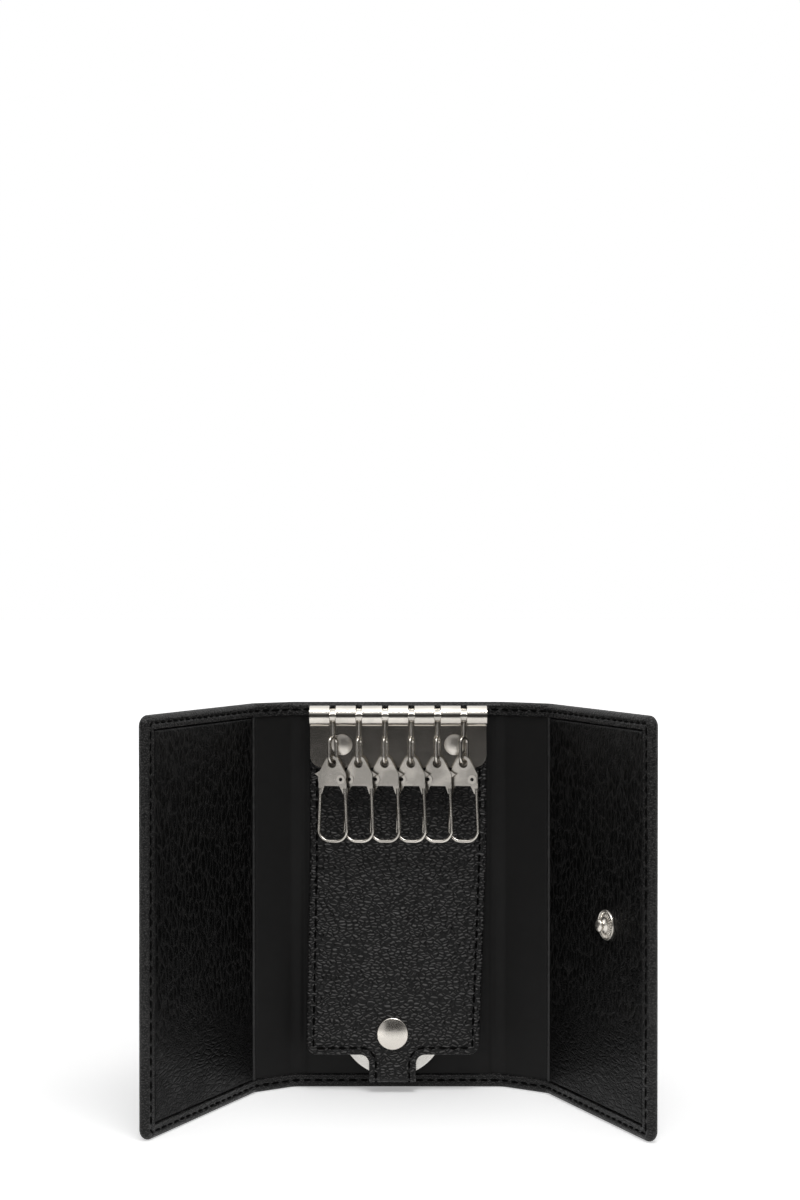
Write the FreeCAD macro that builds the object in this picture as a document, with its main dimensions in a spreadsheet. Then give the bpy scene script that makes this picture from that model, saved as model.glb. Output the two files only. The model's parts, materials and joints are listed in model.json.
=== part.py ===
import FreeCAD, Part
import math
import os
import re
import Sketcher

from FreeCAD import Placement, Rotation, Vector

# A tri-fold leather key case, standing open on its lower edge.
# Millimetres and degrees. X runs along the spine, -Y is the inside of the case, Z is up.
# The origin is the middle of the spine's lower edge.

doc = FreeCAD.newDocument("KeyCase")
sheet = doc.addObject("Spreadsheet::Sheet", "Sizes")

SIZES = {
    # leather case
    "case_height": (110, "height of the standing case"),
    "spine_margin": (5, "rail end to the first fold line"),
    "left_gusset": (13, "left strip between its two fold lines"),
    "right_gusset": (15, "right strip between its two fold lines"),
    "flap_width": (57, "second fold line to the flap's free edge"),
    "cover_thickness": (3, "leather case at its hems"),
    "cover_wall": (1.2, "outer leather behind the boards"),
    "gusset_wall": (2, "outer leather of a gusset"),
    "hem_width": (4, "leather turned over an edge"),
    "flap_corner": (3, "corner radius of a flap"),
    "fold_clearance": (0.15, "gap of the leather at a fold"),
    "spine_board": (0.8, "stiffener of the spine"),
    "spine_lining": (0.4, "lining of the spine"),
    "gusset_lining": (0.4, "lining of a gusset"),
    "flap_board": (0.5, "stiffener of a flap"),
    "flap_lining": (0.3, "lining behind a pocket"),
    "pocket_leather": (0.8, "pocket panel"),
    "pocket_setback": (0.3, "pocket mouth behind the flap's fold end"),
    "gusset_angle": (32, "gussets turned forward"),
    "left_flap_angle": (32, "left flap turned from its gusset"),
    "right_flap_angle": (34, "right flap turned from its gusset"),
    "left_closed_angle": (91, "left gusset when the case is shut"),
    "right_closed_angle": (87, "right gusset when the case is shut"),
    # key rail
    "rail_length": (50, "rail, and the tongue under it"),
    "rail_drop": (3.65, "top edge to the rod's axis"),
    "rail_sheet": (0.7, "rail plate"),
    "rail_plate_drop": (14.85, "rod's axis to the plate's lower edge"),
    "rail_corner": (3.5, "lower corners of the plate"),
    "rail_tube": (5.7, "outside of the rolled tube"),
    "rail_wall": (0.8, "wall of the rolled tube"),
    "rail_slot": (1.8, "slot in the tube for a hanger"),
    "hook_pitch": (7.4, "hanger to hanger"),
    "rod_diameter": (2, "rod in the tube"),
    "collar_length": (1.2, "rod's end collar"),
    "press_play": (0.02, "radial play of pieces that are pressed in"),
    "rivet_offset": (16, "rail rivet from the middle"),
    "rivet_drop": (8.35, "rail rivet below the rod's axis"),
    "rivet_head": (6, "rail rivet's head"),
    "rivet_dome": (0.5, "rail rivet's head height"),
    "rivet_shank": (2.4, "rail rivet's shank"),
    "rivet_tail": (4.4, "rail rivet's spread tail"),
    "rivet_tail_height": (0.3, "depth of the spread tail"),
    # tongue, strap and split ring
    "tongue_thickness": (1.8, "tongue, both leathers"),
    "tongue_front_leather": (1, "front leather, which runs on as the strap"),
    "tongue_taper": (0.75, "tongue's side drawn in at its lower edge"),
    "tongue_corner": (3, "tongue's lower corners"),
    "tongue_rise": (10.9, "floor to the tongue's lower edge"),
    "tongue_sway": (1.6, "tongue's lower edge drawn to the left"),
    "tail_room": (0.75, "strap's snap to the lining behind it"),
    "ring_room": (0.3, "ring to the lining behind it"),
    "tongue_fold_gap": (4.5, "hooks' lower end to the tongue's fold"),
    "strap_width": (13.2, "strap"),
    "strap_drop": (5.1, "tongue's lower edge to the middle of the strap's bend"),
    "strap_gap": (3.6, "room between strap and strap tail"),
    "strap_fillet": (2.5, "tongue running into the strap"),
    "tail_nose_gap": (0.1, "strap tail to the end of the bend"),
    "tail_overhang": (5, "strap tail past its snap"),
    "tail_corner": (3, "corners of the strap tail"),
    "ring_diameter": (30, "split ring"),
    "ring_band": (3, "width of the split ring's band"),
    "ring_turn": (0.95, "thickness of one turn"),
    "ring_turn_gap": (0.1, "gap between the two turns"),
    "ring_clearance": (0.2, "tongue to ring"),
    "ring_seat": (1, "ring's edge below the middle of the bend"),
    "ring_step_angle": (30, "arc in which the ring steps from turn to turn"),
    "snap_rise": (5.9, "snap above the tongue's lower edge"),
    "snap_cap": (9, "snap cap"),
    "snap_cap_height": (1.4, "height of a cap"),
    "snap_cap_round": (1, "rounding of a cap's edge"),
    "snap_post": (3, "post through the leather"),
    "snap_socket": (8, "female half of the tongue snap"),
    "snap_socket_height": (1.6, "height of that half"),
    "snap_bore": (4.6, "bore of a female half"),
    "snap_stud": (3.4, "male head"),
    "snap_stud_height": (2, "male head above its plate"),
    "snap_plate": (7, "plate of the strap's stud"),
    "snap_plate_height": (0.4, "height of that plate"),
    # closure of the case
    "closure_inset": (22.6, "closure to the flap's free edge"),
    "closure_height": (53, "closure above the floor"),
    "closure_cap": (10, "cap on the outside"),
    "stud_flange": (8.1, "serrated base of the closure stud"),
    "stud_flange_height": (0.8, "height of that base"),
    "stud_neck": (2.6, "neck of the closure stud"),
    "stud_head_height": (1.1, "head of the closure stud"),
    "stud_height": (3.2, "closure stud above the leather"),
    "socket_flange": (8.4, "rim of the closure socket"),
    "socket_height": (0.9, "rim above the leather"),
    "socket_barrel": (5.6, "socket's barrel through the leather"),
    "eyelet_diameter": (8, "washer that holds the socket"),
    "eyelet_height": (0.4, "thickness of that washer"),
    # hooks
    "hook_yaw": (16, "hooks turned so that they lap"),
    "end_eye_yaw": (38, "wire eyes of the two end hooks"),
    "hook_lean": (2.5, "hooks standing off the tongue"),
    "rod_play": (0.08, "hanger's radial play on the rod"),
    "hanger_diameter": (3.6, "hanger's eye on the rod"),
    "hanger_width": (1.5, "hanger's eye along the rod"),
    "hanger_shank": (1.1, "hanger's shank"),
    "hanger_drop": (5.65, "rod's axis to the top of the wire eye"),
    "eye_height": (8, "wire eye"),
    "eye_width": (4.2, "wire eye"),
    "eye_wire": (1.05, "wire of the eye"),
    "hook_sheet": (0.3, "one side of the folded hook plate"),
    "hook_slot": (0.6, "room between the two sides"),
    "hook_hang": (0.25, "hook hole above the eye's lowest point"),
    "hook_hole": (2.6, "hole that the wire eye goes through"),
    "hook_top_radius": (2.1, "rounded top of the hook plate"),
    "hook_neck_angle": (30, "where the rounded top runs into the slopes"),
    "hook_width": (8.2, "hook plate"),
    "hook_shoulder": (3, "hole to the end of the slopes"),
    "hook_plate_drop": (6.35, "hole to the plate's lower edge"),
    "hook_fold_drop": (1.8, "hole to the top of the slot"),
    "hook_corner": (1.4, "lower corners of the plate"),
    "hook_rivet_offset": (2.6, "hook rivet from the middle"),
    "hook_rivet_drop": (4.5, "hole to the hook rivet"),
    "hook_rivet_head": (2.5, "hook rivet's rolled rim"),
    "hook_rivet_rim": (0.25, "height of that rim"),
    "hook_rivet_barrel": (1.6, "hook rivet's barrel"),
    "hook_rivet_bore": (1, "hook rivet's bore"),
    "pivot_play": (0.05, "loop's radial play on its rivet"),
    "loop_wire": (1, "wire of the loop"),
    "loop_width": (9.3, "loop at its widest"),
    "loop_top_width": (8.3, "loop at the plate"),
    "loop_drop": (22.45, "hole to the loop's lower end"),
    "loop_corner": (3.2, "bends of the loop"),
    "loop_gap": (0.65, "plate to the start of the round wire"),
    "tab_thickness": (0.5, "flattened ends of the loop"),
    "tab_width": (1.3, "free end inside the wire's line"),
    "tab_blend": (1.6, "length over which the wire flattens"),
    "pivot_radius": (1.5, "flattened end round the rivet"),
    "ear_reach": (1.1, "pointed ear past the plate"),
    "ear_height": (1.8, "pointed ear"),
    # cuts
    "overrun": (2, "how far a cut runs past what it cuts"),
}

WORKED_OUT = {
    "cover_half": "cover_thickness / 2",
    "fold_end": "cover_half + fold_clearance",
    "spine_half": "rail_length / 2 + spine_margin",
    "spine_edge": "spine_half - fold_end",
    "wall_face": "cover_half - cover_wall",
    "spine_board_face": "wall_face - spine_board",
    "lining_face": "spine_board_face - spine_lining",
    "gusset_face": "cover_half - gusset_wall",
    "flap_board_face": "wall_face - flap_board",
    "flap_lining_face": "flap_board_face - flap_lining",
    "pocket_face": "flap_lining_face - pocket_leather",
    "flap_inner": "flap_width - hem_width",
    "closure_reach": "flap_width - closure_inset",
    "hem_top": "case_height - hem_width",
    "tongue_face": "lining_face - tongue_thickness",
    "rail_face": "tongue_face - rail_sheet",
    "rod_y": "tongue_face - rail_tube / 2",
    "rod_z": "case_height - rail_drop",
    "rivet_z": "rod_z - rivet_drop",
    "tube_bore": "rail_tube - 2 * rail_wall",
    "eye_end": "hanger_drop + eye_height",
    "hole_z": "hook_hang - eye_end",
    "plate_end": "hole_z - hook_plate_drop",
    "hook_half": "hook_width / 2",
    "hook_thick_half": "hook_slot / 2 + hook_sheet",
    "hook_rivet_z": "hole_z - hook_rivet_drop",
    "loop_end": "hole_z - loop_drop",
    "tongue_half": "tongue_thickness / 2",
    "fold_y": "lining_face - lining_step",
    "fold_z": "rod_z + loop_end - tongue_fold_gap",
    "tongue_upright": "fold_z - tongue_rise",
    "lining_step": "tongue_half + fold_clearance",
    "tail_depth": "tail_y + tail_half + snap_plate_height + tail_room - lining_step",
    "tail_run": "tongue_upright - snap_rise - snap_plate / 2",
    "ring_depth": "ring_y + 2 * ring_turn + ring_turn_gap + ring_room - lining_step",
    "ring_run": "tongue_upright + strap_drop + ring_seat - ring_diameter",
    "tongue_tilt": "atan(max(tail_depth / tail_run; ring_depth / ring_run))",
    "tongue_length": "tongue_upright / cos(tongue_tilt)",
    "tongue_low_half": "rail_length / 2 - tongue_taper",
    "strap_half": "strap_width / 2",
    "strap_back": "tongue_front_leather - tongue_half",
    "bend_y": "strap_back + strap_gap / 2",
    "bend_z": "-tongue_length - strap_drop",
    "bend_inner": "strap_gap / 2",
    "bend_outer": "bend_inner + tongue_front_leather",
    "snap_z": "snap_rise - tongue_length",
    "tail_half": "tongue_front_leather / 2",
    "tail_y": "strap_back + strap_gap + tail_half",
    "tail_z": "bend_z + tail_half + tail_nose_gap",
    "tail_length": "snap_z - tail_z + tail_overhang",
    "ring_radius": "ring_diameter / 2",
    "ring_y": "tongue_half + ring_clearance",
    "ring_z": "bend_z - ring_seat + ring_radius",
    "post_hole": "snap_post / 2 + press_play",
}


def spelled(text):
    """A sum of size names, spelled out in the sheet's own cells."""

    def swap(match):
        word = match.group(0)
        if word in WORKED_OUT:
            return "(" + spelled(WORKED_OUT[word]) + ")"
        return "Sizes." + word if word in SIZES else word

    return re.sub(r"[a-z_]+", swap, text)


def mm(text):
    """The value of a sum of size names."""
    found = sheet.evalExpression(spelled(text))
    return float(getattr(found, "Value", found))


for row, (alias, (size, meaning)) in enumerate(SIZES.items(), start=1):
    sheet.set(f"A{row}", meaning)
    sheet.set(f"B{row}", str(size))
    sheet.setAlias(f"B{row}", alias)
doc.recompute()

nodes = []


def node(piece, label, frame):
    """Names a finished sub-part and puts it in its body's frame."""
    piece.Label = label
    piece.Placement = frame
    nodes.append(piece)
    return piece


# Sketched pieces
# XZ sketches look along the body's thickness, YZ sketches along X, XY sketches up.


def sketch(body, plane, loops, offset):
    """A sketch of closed loops: a loop is a list of corners, or a centre and a radius."""
    flat = body.newObject("Sketcher::SketchObject", "Sketch")
    base = [one for one in body.Origin.OriginFeatures if one.Role == plane][0]
    flat.AttachmentSupport = [(base, "")]
    flat.MapMode = "FlatFace"
    flat.setExpression("AttachmentOffset.Base.z", spelled(offset))
    for loop in loops:
        if isinstance(loop, tuple):
            round_loop(flat, *loop)
        else:
            straight_loop(flat, loop)
    return flat


def tie(flat, kind, places, text):
    number = flat.addConstraint(Sketcher.Constraint(kind, *places, mm(text)))
    flat.setExpression(f"Constraints[{number}]", spelled(text))


def tie_point(flat, line, end, across, up):
    tie(flat, "DistanceX", (-1, 1, line, end), across)
    tie(flat, "DistanceY", (-1, 1, line, end), up)


def straight_loop(flat, corners):
    points = [Vector(mm(across), mm(up), 0) for across, up in corners]
    lines = []
    for start, end in zip(points, points[1:] + points[:1]):
        lines.append(flat.addGeometry(Part.LineSegment(start, end), False))
    for line, after in zip(lines, lines[1:] + lines[:1]):
        flat.addConstraint(Sketcher.Constraint("Coincident", line, 2, after, 1))
    for line, (across, up) in zip(lines, corners):
        tie_point(flat, line, 1, across, up)


def round_loop(flat, centre, radius):
    across, up = centre
    ring = Part.Circle(Vector(mm(across), mm(up), 0), Vector(0, 0, 1), mm(radius))
    edge = flat.addGeometry(ring, False)
    tie(flat, "Radius", (edge,), radius)
    tie_point(flat, edge, 3, across, up)


def ends(plane, low, high):
    """Where a slab starts and stops along its sketch's normal; the XZ plane's points to -Y."""
    return (f"-({high})", f"-({low})") if plane == "XZ_Plane" else (low, high)


def add(body, plane, loops, low, high):
    """Adds a slab between two planes."""
    feature = body.newObject("PartDesign::Pad", "Pad")
    feature.Profile = sketch(body, plane, loops, ends(plane, low, high)[0])
    feature.setExpression("Length", spelled(f"({high}) - ({low})"))
    body.Tip = feature
    return feature


def cut(body, plane, loops, low, high):
    """Cuts a slab between two planes, and makes sure that it took material away."""
    doc.recompute()
    before = body.Shape.Volume
    feature = body.newObject("PartDesign::Pocket", "Pocket")
    feature.Profile = sketch(body, plane, loops, ends(plane, low, high)[1])
    feature.setExpression("Length", spelled(f"({high}) - ({low})"))
    body.Tip = feature
    doc.recompute()
    if not body.Shape.Volume < before:
        raise ValueError(f"a cut in {body.Label} took nothing away")
    return feature


def round_corners(body, places, radius):
    """Rounds the edges that run through the thickness at the given places of the XZ outline."""
    doc.recompute()
    base = body.Tip
    wanted = [(mm(across), mm(up)) for across, up in places]
    names = []
    for number, edge in enumerate(base.Shape.Edges, start=1):
        first, last = edge.Vertexes[0].Point, edge.Vertexes[-1].Point
        place = (first.x, first.z)
        if math.dist(place, (last.x, last.z)) > edge.Length / 2:
            continue
        if any(math.dist(place, spot) < mm("press_play") for spot in wanted):
            names.append(f"Edge{number}")
    feature = body.newObject("PartDesign::Fillet", "Fillet")
    feature.Base = (base, names)
    feature.setExpression("Radius", spelled(radius))
    body.Tip = feature


def new_body(label, frame):
    body = doc.addObject("PartDesign::Body", "Body")
    return node(body, label, frame)


def rectangle(left, right, low, high):
    return [(left, low), (right, low), (right, high), (left, high)]


def outward(side, near, far):
    """Distances from a fold line, as places along X on the right or on the left."""
    return (near, far) if side > 0 else (f"-({far})", f"-({near})")


def plate(label, frame, left, right, low, high, front, back, holes=()):
    """A flat sheet with round holes through it."""
    body = new_body(label, frame)
    add(body, "XZ_Plane", [rectangle(left, right, low, high)], front, back)
    if holes:
        cut(body, "XZ_Plane", list(holes), f"({front}) - overrun", f"({back}) + overrun")
    return body


# Frames of the moving pieces


def turned(frame, at, axis, angle):
    return frame.multiply(Placement(Vector(*at), Rotation(Vector(*axis), angle)))


upright = (0, 0, 1)
sideways = (1, 0, 0)
spine_frame = Placement()
gusset_frames, flap_frames = {}, {}
for side, name in ((-1, "left"), (1, "right")):
    fold = (side * mm("spine_half"), 0, 0)
    gusset_frames[name] = turned(spine_frame, fold, upright, -side * mm("gusset_angle"))
    fold = (side * mm(f"{name}_gusset"), 0, 0)
    flap_turn = -side * mm(f"{name}_flap_angle")
    flap_frames[name] = turned(gusset_frames[name], fold, upright, flap_turn)
tongue_frame = turned(spine_frame, (0, mm("fold_y"), mm("fold_z")), sideways, -mm("tongue_tilt"))
tail_frame = turned(tongue_frame, (-mm("tongue_sway"), mm("tail_y"), mm("tail_z")), sideways, 0)
ring_frame = turned(tongue_frame, (-mm("tongue_sway"), mm("ring_y"), mm("ring_z")), sideways, 0)

# Spine

case_ends = ("0", "case_height")
rivet_places = [(f"{sign}rivet_offset", "rivet_z") for sign in ("-", "")]
rail_rivets = [(centre, "rivet_shank / 2 + press_play") for centre in rivet_places]
rivet_tails = [(centre, "rivet_tail / 2 + press_play") for centre in rivet_places]
hemmed = ("hem_width", "hem_top")

cover = new_body("spine_cover", spine_frame)
spine_sides = ("-spine_edge", "spine_edge")
add(cover, "XZ_Plane", [rectangle(*spine_sides, *case_ends)], "-cover_half", "cover_half")
recess = rectangle("-spine_edge - overrun", "spine_edge + overrun", *hemmed)
cut(cover, "XZ_Plane", [recess], "-cover_half - overrun", "wall_face")

board = plate(
    "spine_board", spine_frame, *spine_sides, *hemmed, "spine_board_face", "wall_face", rail_rivets
)
cut(board, "XZ_Plane", rivet_tails, "wall_face - rivet_tail_height", "wall_face + overrun")
plate("spine_lining", spine_frame, *spine_sides, *hemmed, "lining_face", "spine_board_face", rail_rivets)

rail_sides = ("-rail_length / 2", "rail_length / 2")
plate(
    "tongue_top",
    spine_frame,
    *rail_sides,
    "fold_z + tongue_half + fold_clearance",
    "hem_top",
    "tongue_face",
    "lining_face",
    rail_rivets,
)

# Key rail

HOOKS = 6
hook_places = [f"({number} - {(HOOKS + 1) / 2}) * hook_pitch" for number in range(1, HOOKS + 1)]

rail = new_body("rail_plate", spine_frame)
tube = [(("rod_y", "rod_z"), "rail_tube / 2")]
bore = [(("rod_y", "rod_z"), "tube_bore / 2")]
add(rail, "YZ_Plane", tube, *rail_sides)
plate_low = "rod_z - rail_plate_drop"
add(rail, "XZ_Plane", [rectangle(*rail_sides, plate_low, "rod_z")], "rail_face", "tongue_face")
plate_corners = [(edge, plate_low) for edge in rail_sides]
round_corners(rail, plate_corners, "rail_corner")
cut(rail, "YZ_Plane", bore, "-rail_length / 2 - overrun", "rail_length / 2 + overrun")
slots = []
slot_ends = ("rod_z - rail_tube / 2 - overrun", "rod_z + rail_tube / 2 + overrun")
for place in hook_places:
    slot_sides = (f"{place} - rail_slot / 2", f"{place} + rail_slot / 2")
    slots.append(rectangle(*slot_sides, *slot_ends))
cut(rail, "XZ_Plane", slots, "rod_y - rail_tube / 2 - overrun", "rail_face")
cut(rail, "XZ_Plane", rail_rivets, "rail_face - overrun", "tongue_face + overrun")

rod = new_body("rail_rod", spine_frame)
add(rod, "YZ_Plane", [(("rod_y", "rod_z"), "rod_diameter / 2")], *rail_sides)
collar = [(("rod_y", "rod_z"), "tube_bore / 2 - press_play")]
add(rod, "YZ_Plane", collar, "-rail_length / 2", "collar_length - rail_length / 2")
add(rod, "YZ_Plane", collar, "rail_length / 2 - collar_length", "rail_length / 2")


def rail_rivet(sign):
    """One domed rivet: head on the rail, shank through the leather, tail spread in the board."""
    pieces = []
    slabs = (
        ("rivet_head", "rail_face - rivet_dome", "rail_face"),
        ("rivet_shank", "rail_face", "wall_face - rivet_tail_height"),
        ("rivet_tail", "wall_face - rivet_tail_height", "wall_face"),
    )
    for diameter, front, back in slabs:
        slab = doc.addObject("Part::Cylinder", "RivetSlab")
        slab.setExpression("Radius", spelled(f"{diameter} / 2"))
        slab.setExpression("Height", spelled(f"({back}) - ({front})"))
        place = Vector(mm(f"{sign}rivet_offset"), mm(back), mm("rivet_z"))
        slab.Placement = Placement(place, Rotation(Vector(*sideways), 90))
        pieces.append(slab)
    whole = doc.addObject("Part::MultiFuse", "Rivet")
    whole.Shapes = pieces
    return whole


rivets = doc.addObject("Part::Compound", "RailRivets")
rivets.Links = [rail_rivet(sign) for sign in ("-", "")]
node(rivets, "rail_rivets", spine_frame)

# Gussets and flaps


def gusset(side, name):
    """A strip with rounded long edges, so that it turns against the spine and the flap."""
    frame, width = gusset_frames[name], f"{name}_gusset"
    left, right = outward(side, "0", width)
    far = width if side > 0 else "-" + width
    leather = new_body(f"{name}_gusset_cover", frame)
    add(leather, "XY_Plane", [rectangle(left, right, "-cover_half", "cover_half")], *case_ends)
    for fold in ("0", far):
        add(leather, "XY_Plane", [((fold, "0"), "cover_half")], *case_ends)
    opening = [rectangle(left, right, *hemmed)]
    cut(leather, "XZ_Plane", opening, "-cover_half - overrun", "gusset_face")
    lining = (left, right, *hemmed, "gusset_face - gusset_lining", "gusset_face")
    plate(f"{name}_gusset_lining", frame, *lining)


def flap(side, name, cover_hole, board_hole, inner_hole):
    """Outer leather with turned hems, and board, lining and pocket panel let into it."""
    frame = flap_frames[name]
    outer = outward(side, "fold_end", "flap_width")
    inner = outward(side, "fold_end", "flap_inner")
    mouth = outward(side, "fold_end + pocket_setback", "flap_inner")
    opening = outward(side, "fold_end - overrun", "flap_inner")
    free_edge = outer[1] if side > 0 else outer[0]
    leather = new_body(f"{name}_flap_cover", frame)
    add(leather, "XZ_Plane", [rectangle(*outer, *case_ends)], "-cover_half", "cover_half")
    round_corners(leather, [(free_edge, height) for height in case_ends], "flap_corner")
    cut(leather, "XZ_Plane", [rectangle(*opening, *hemmed)], "-cover_half - overrun", "wall_face")
    cut(leather, "XZ_Plane", cover_hole, "-cover_half - overrun", "cover_half + overrun")
    layers = (
        ("board", inner, "flap_board_face", "wall_face", board_hole),
        ("lining", inner, "flap_lining_face", "flap_board_face", inner_hole),
        ("pocket", mouth, "pocket_face", "flap_lining_face", inner_hole),
    )
    for layer, sides, front, back, holes in layers:
        plate(f"{name}_flap_{layer}", frame, *sides, *hemmed, front, back, holes)


def socket_reach():
    """Where the stud meets the left flap when the case is shut, from the left fold line."""
    lines = {}
    for side, name in ((-1, "left"), (1, "right")):
        first = math.radians(mm(f"{name}_closed_angle"))
        second = first + first + math.radians(mm(f"{name}_flap_angle - gusset_angle"))
        fold_x = side * (mm("spine_half") + mm(f"{name}_gusset") * math.cos(first))
        fold_y = -mm(f"{name}_gusset") * math.sin(first)
        along = (side * math.cos(second), -math.sin(second))
        lines[name] = (fold_x, fold_y, *along)
    x, y, dx, dy = lines["right"]
    x, y = x + mm("closure_reach") * dx, y + mm("closure_reach") * dy
    left_x, left_y, left_dx, left_dy = lines["left"]
    # the stud's axis is square to the right flap: cross it with the left flap's line
    turn = left_dx * dx + left_dy * dy
    return ((x - left_x) * dx + (y - left_y) * dy) / turn


socket_x = f"-{socket_reach() / mm('flap_width')} * flap_width"
socket_centre = (socket_x, "closure_height")
stud_centre = ("closure_reach", "closure_height")
stud_holes = [(stud_centre, "post_hole")]
gusset(-1, "left")
gusset(1, "right")
flap(
    -1,
    "left",
    [(socket_centre, "socket_barrel / 2 + press_play")],
    [(socket_centre, "eyelet_diameter / 2 + press_play")],
    (),
)
flap(1, "right", stud_holes, stud_holes, stud_holes)

# Closure of the case


def disc(body, centre, diameter, front, back, hole=None):
    loops = [(centre, f"{diameter} / 2")]
    if hole:
        loops.append((centre, f"{hole} / 2"))
    return add(body, "XZ_Plane", loops, front, back)


def round_rim(body, diameter, place):
    """Rounds the rim of a cap: the circle of that diameter at that place along the thickness."""
    doc.recompute()
    base = body.Tip
    names = []
    for number, edge in enumerate(base.Shape.Edges, start=1):
        radius = getattr(edge.Curve, "Radius", 0)
        level = edge.Vertexes[0].Point.y
        if abs(radius - mm(diameter) / 2) + abs(level - mm(place)) < mm("press_play"):
            names.append(f"Edge{number}")
    feature = body.newObject("PartDesign::Fillet", "Fillet")
    feature.Base = (base, names)
    feature.setExpression("Radius", spelled("snap_cap_round"))
    body.Tip = feature


stud = new_body("closure_stud", flap_frames["right"])
disc(stud, stud_centre, "stud_flange", "pocket_face - stud_flange_height", "pocket_face")
stud_top = "pocket_face - stud_height"
disc(stud, stud_centre, "stud_neck", stud_top, "pocket_face - stud_flange_height")
disc(stud, stud_centre, "snap_stud", stud_top, f"{stud_top} + stud_head_height")

cap = new_body("closure_cap", flap_frames["right"])
disc(cap, stud_centre, "closure_cap", "cover_half", "cover_half + snap_cap_height")
round_rim(cap, "closure_cap", "cover_half + snap_cap_height")
disc(cap, stud_centre, "snap_post", "pocket_face", "cover_half")

socket = new_body("closure_socket", flap_frames["left"])
disc(socket, socket_centre, "socket_flange", "cover_half", "cover_half + socket_height", "snap_bore")
disc(socket, socket_centre, "socket_barrel", "wall_face", "cover_half", "snap_bore")
eyelet = new_body("closure_eyelet", flap_frames["left"])
disc(eyelet, socket_centre, "eyelet_diameter", "wall_face - eyelet_height", "wall_face", "snap_bore")

# Tongue and strap

snap_centre = ("-tongue_sway", "snap_z")
snap_hole = [(snap_centre, "post_hole")]
strap_sides = ("-strap_half - tongue_sway", "strap_half - tongue_sway")
low_sides = ("-tongue_low_half - tongue_sway", "tongue_low_half - tongue_sway")

front = new_body("tongue_front", tongue_frame)
bend_centre = ("bend_y", "bend_z")
add(front, "YZ_Plane", [(bend_centre, "bend_outer"), (bend_centre, "bend_inner")], *strap_sides)
bend_sides = ("bend_y - bend_outer - overrun", "bend_y + bend_outer + overrun")
upper_half = rectangle(*bend_sides, "bend_z", "bend_z + bend_outer + overrun")
cut(front, "YZ_Plane", [upper_half], *strap_sides)
tongue_outline = [
    ("-rail_length / 2", "0"),
    ("-rail_length / 2", "-tongue_half - fold_clearance"),
    (low_sides[0], "-tongue_length"),
    (strap_sides[0], "-tongue_length"),
    (strap_sides[0], "bend_z"),
    (strap_sides[1], "bend_z"),
    (strap_sides[1], "-tongue_length"),
    (low_sides[1], "-tongue_length"),
    ("rail_length / 2", "-tongue_half - fold_clearance"),
    ("rail_length / 2", "0"),
]
add(front, "XZ_Plane", [tongue_outline], "-tongue_half", "strap_back")
add(front, "YZ_Plane", [(("0", "0"), "tongue_half")], *rail_sides)
low_corners = [(edge, "-tongue_length") for edge in low_sides]
strap_roots = [(edge, "-tongue_length") for edge in strap_sides]
round_corners(front, low_corners, "tongue_corner")
round_corners(front, strap_roots, "strap_fillet")
cut(front, "XZ_Plane", snap_hole, "-tongue_half - overrun", "strap_back + overrun")

back = new_body("tongue_back", tongue_frame)
back_outline = [
    ("-rail_length / 2", "-tongue_half - fold_clearance"),
    (low_sides[0], "-tongue_length"),
    (low_sides[1], "-tongue_length"),
    ("rail_length / 2", "-tongue_half - fold_clearance"),
]
add(back, "XZ_Plane", [back_outline], "strap_back", "tongue_half")
round_corners(back, low_corners, "tongue_corner")
cut(back, "XZ_Plane", snap_hole, "strap_back - overrun", "tongue_half + overrun")

cap = new_body("tongue_snap_cap", tongue_frame)
disc(cap, snap_centre, "snap_cap", "-tongue_half - snap_cap_height", "-tongue_half")
round_rim(cap, "snap_cap", "-tongue_half - snap_cap_height")
disc(cap, snap_centre, "snap_post", "-tongue_half", "tongue_half")
socket = new_body("tongue_snap_socket", tongue_frame)
disc(socket, snap_centre, "snap_socket", "tongue_half", "tongue_half + snap_socket_height", "snap_bore")

tail_snap = ("0", "snap_z - tail_z")
tail = new_body("strap_tail", tail_frame)
tail_faces = ("-tail_half", "tail_half")
tail_sides = ("-strap_half", "strap_half")
add(tail, "XZ_Plane", [rectangle(*tail_sides, "0", "tail_length")], *tail_faces)
round_corners(tail, [(edge, "tail_length") for edge in tail_sides], "tail_corner")
add(tail, "YZ_Plane", [(("0", "0"), "tail_half")], *tail_sides)
cut(tail, "XZ_Plane", [(tail_snap, "post_hole")], "-tail_half - overrun", "tail_half + overrun")
stud = new_body("strap_stud", tail_frame)
disc(stud, tail_snap, "snap_plate", "-tail_half - snap_plate_height", "-tail_half")
stud_low = "-tail_half - snap_plate_height"
disc(stud, tail_snap, "snap_stud", f"{stud_low} - snap_stud_height", stud_low)
cap = new_body("strap_stud_cap", tail_frame)
disc(cap, tail_snap, "snap_plate", "tail_half", "tail_half + snap_plate_height")
disc(cap, tail_snap, "snap_post", "-tail_half", "tail_half")

# Split ring


def band(angle, height):
    """The band's cross-section at an angle round the ring, its lower face at a height."""
    inner, outer = mm("ring_radius - ring_band"), mm("ring_radius")
    cosine, sine = math.cos(math.radians(angle)), math.sin(math.radians(angle))
    corners = []
    for radius, rise in ((inner, 0), (outer, 0), (outer, mm("ring_turn")), (inner, mm("ring_turn"))):
        corners.append(Vector(radius * cosine, height + rise, radius * sine))
    return Part.makePolygon(corners + corners[:1])


RAMP_STEPS = 6


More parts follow.
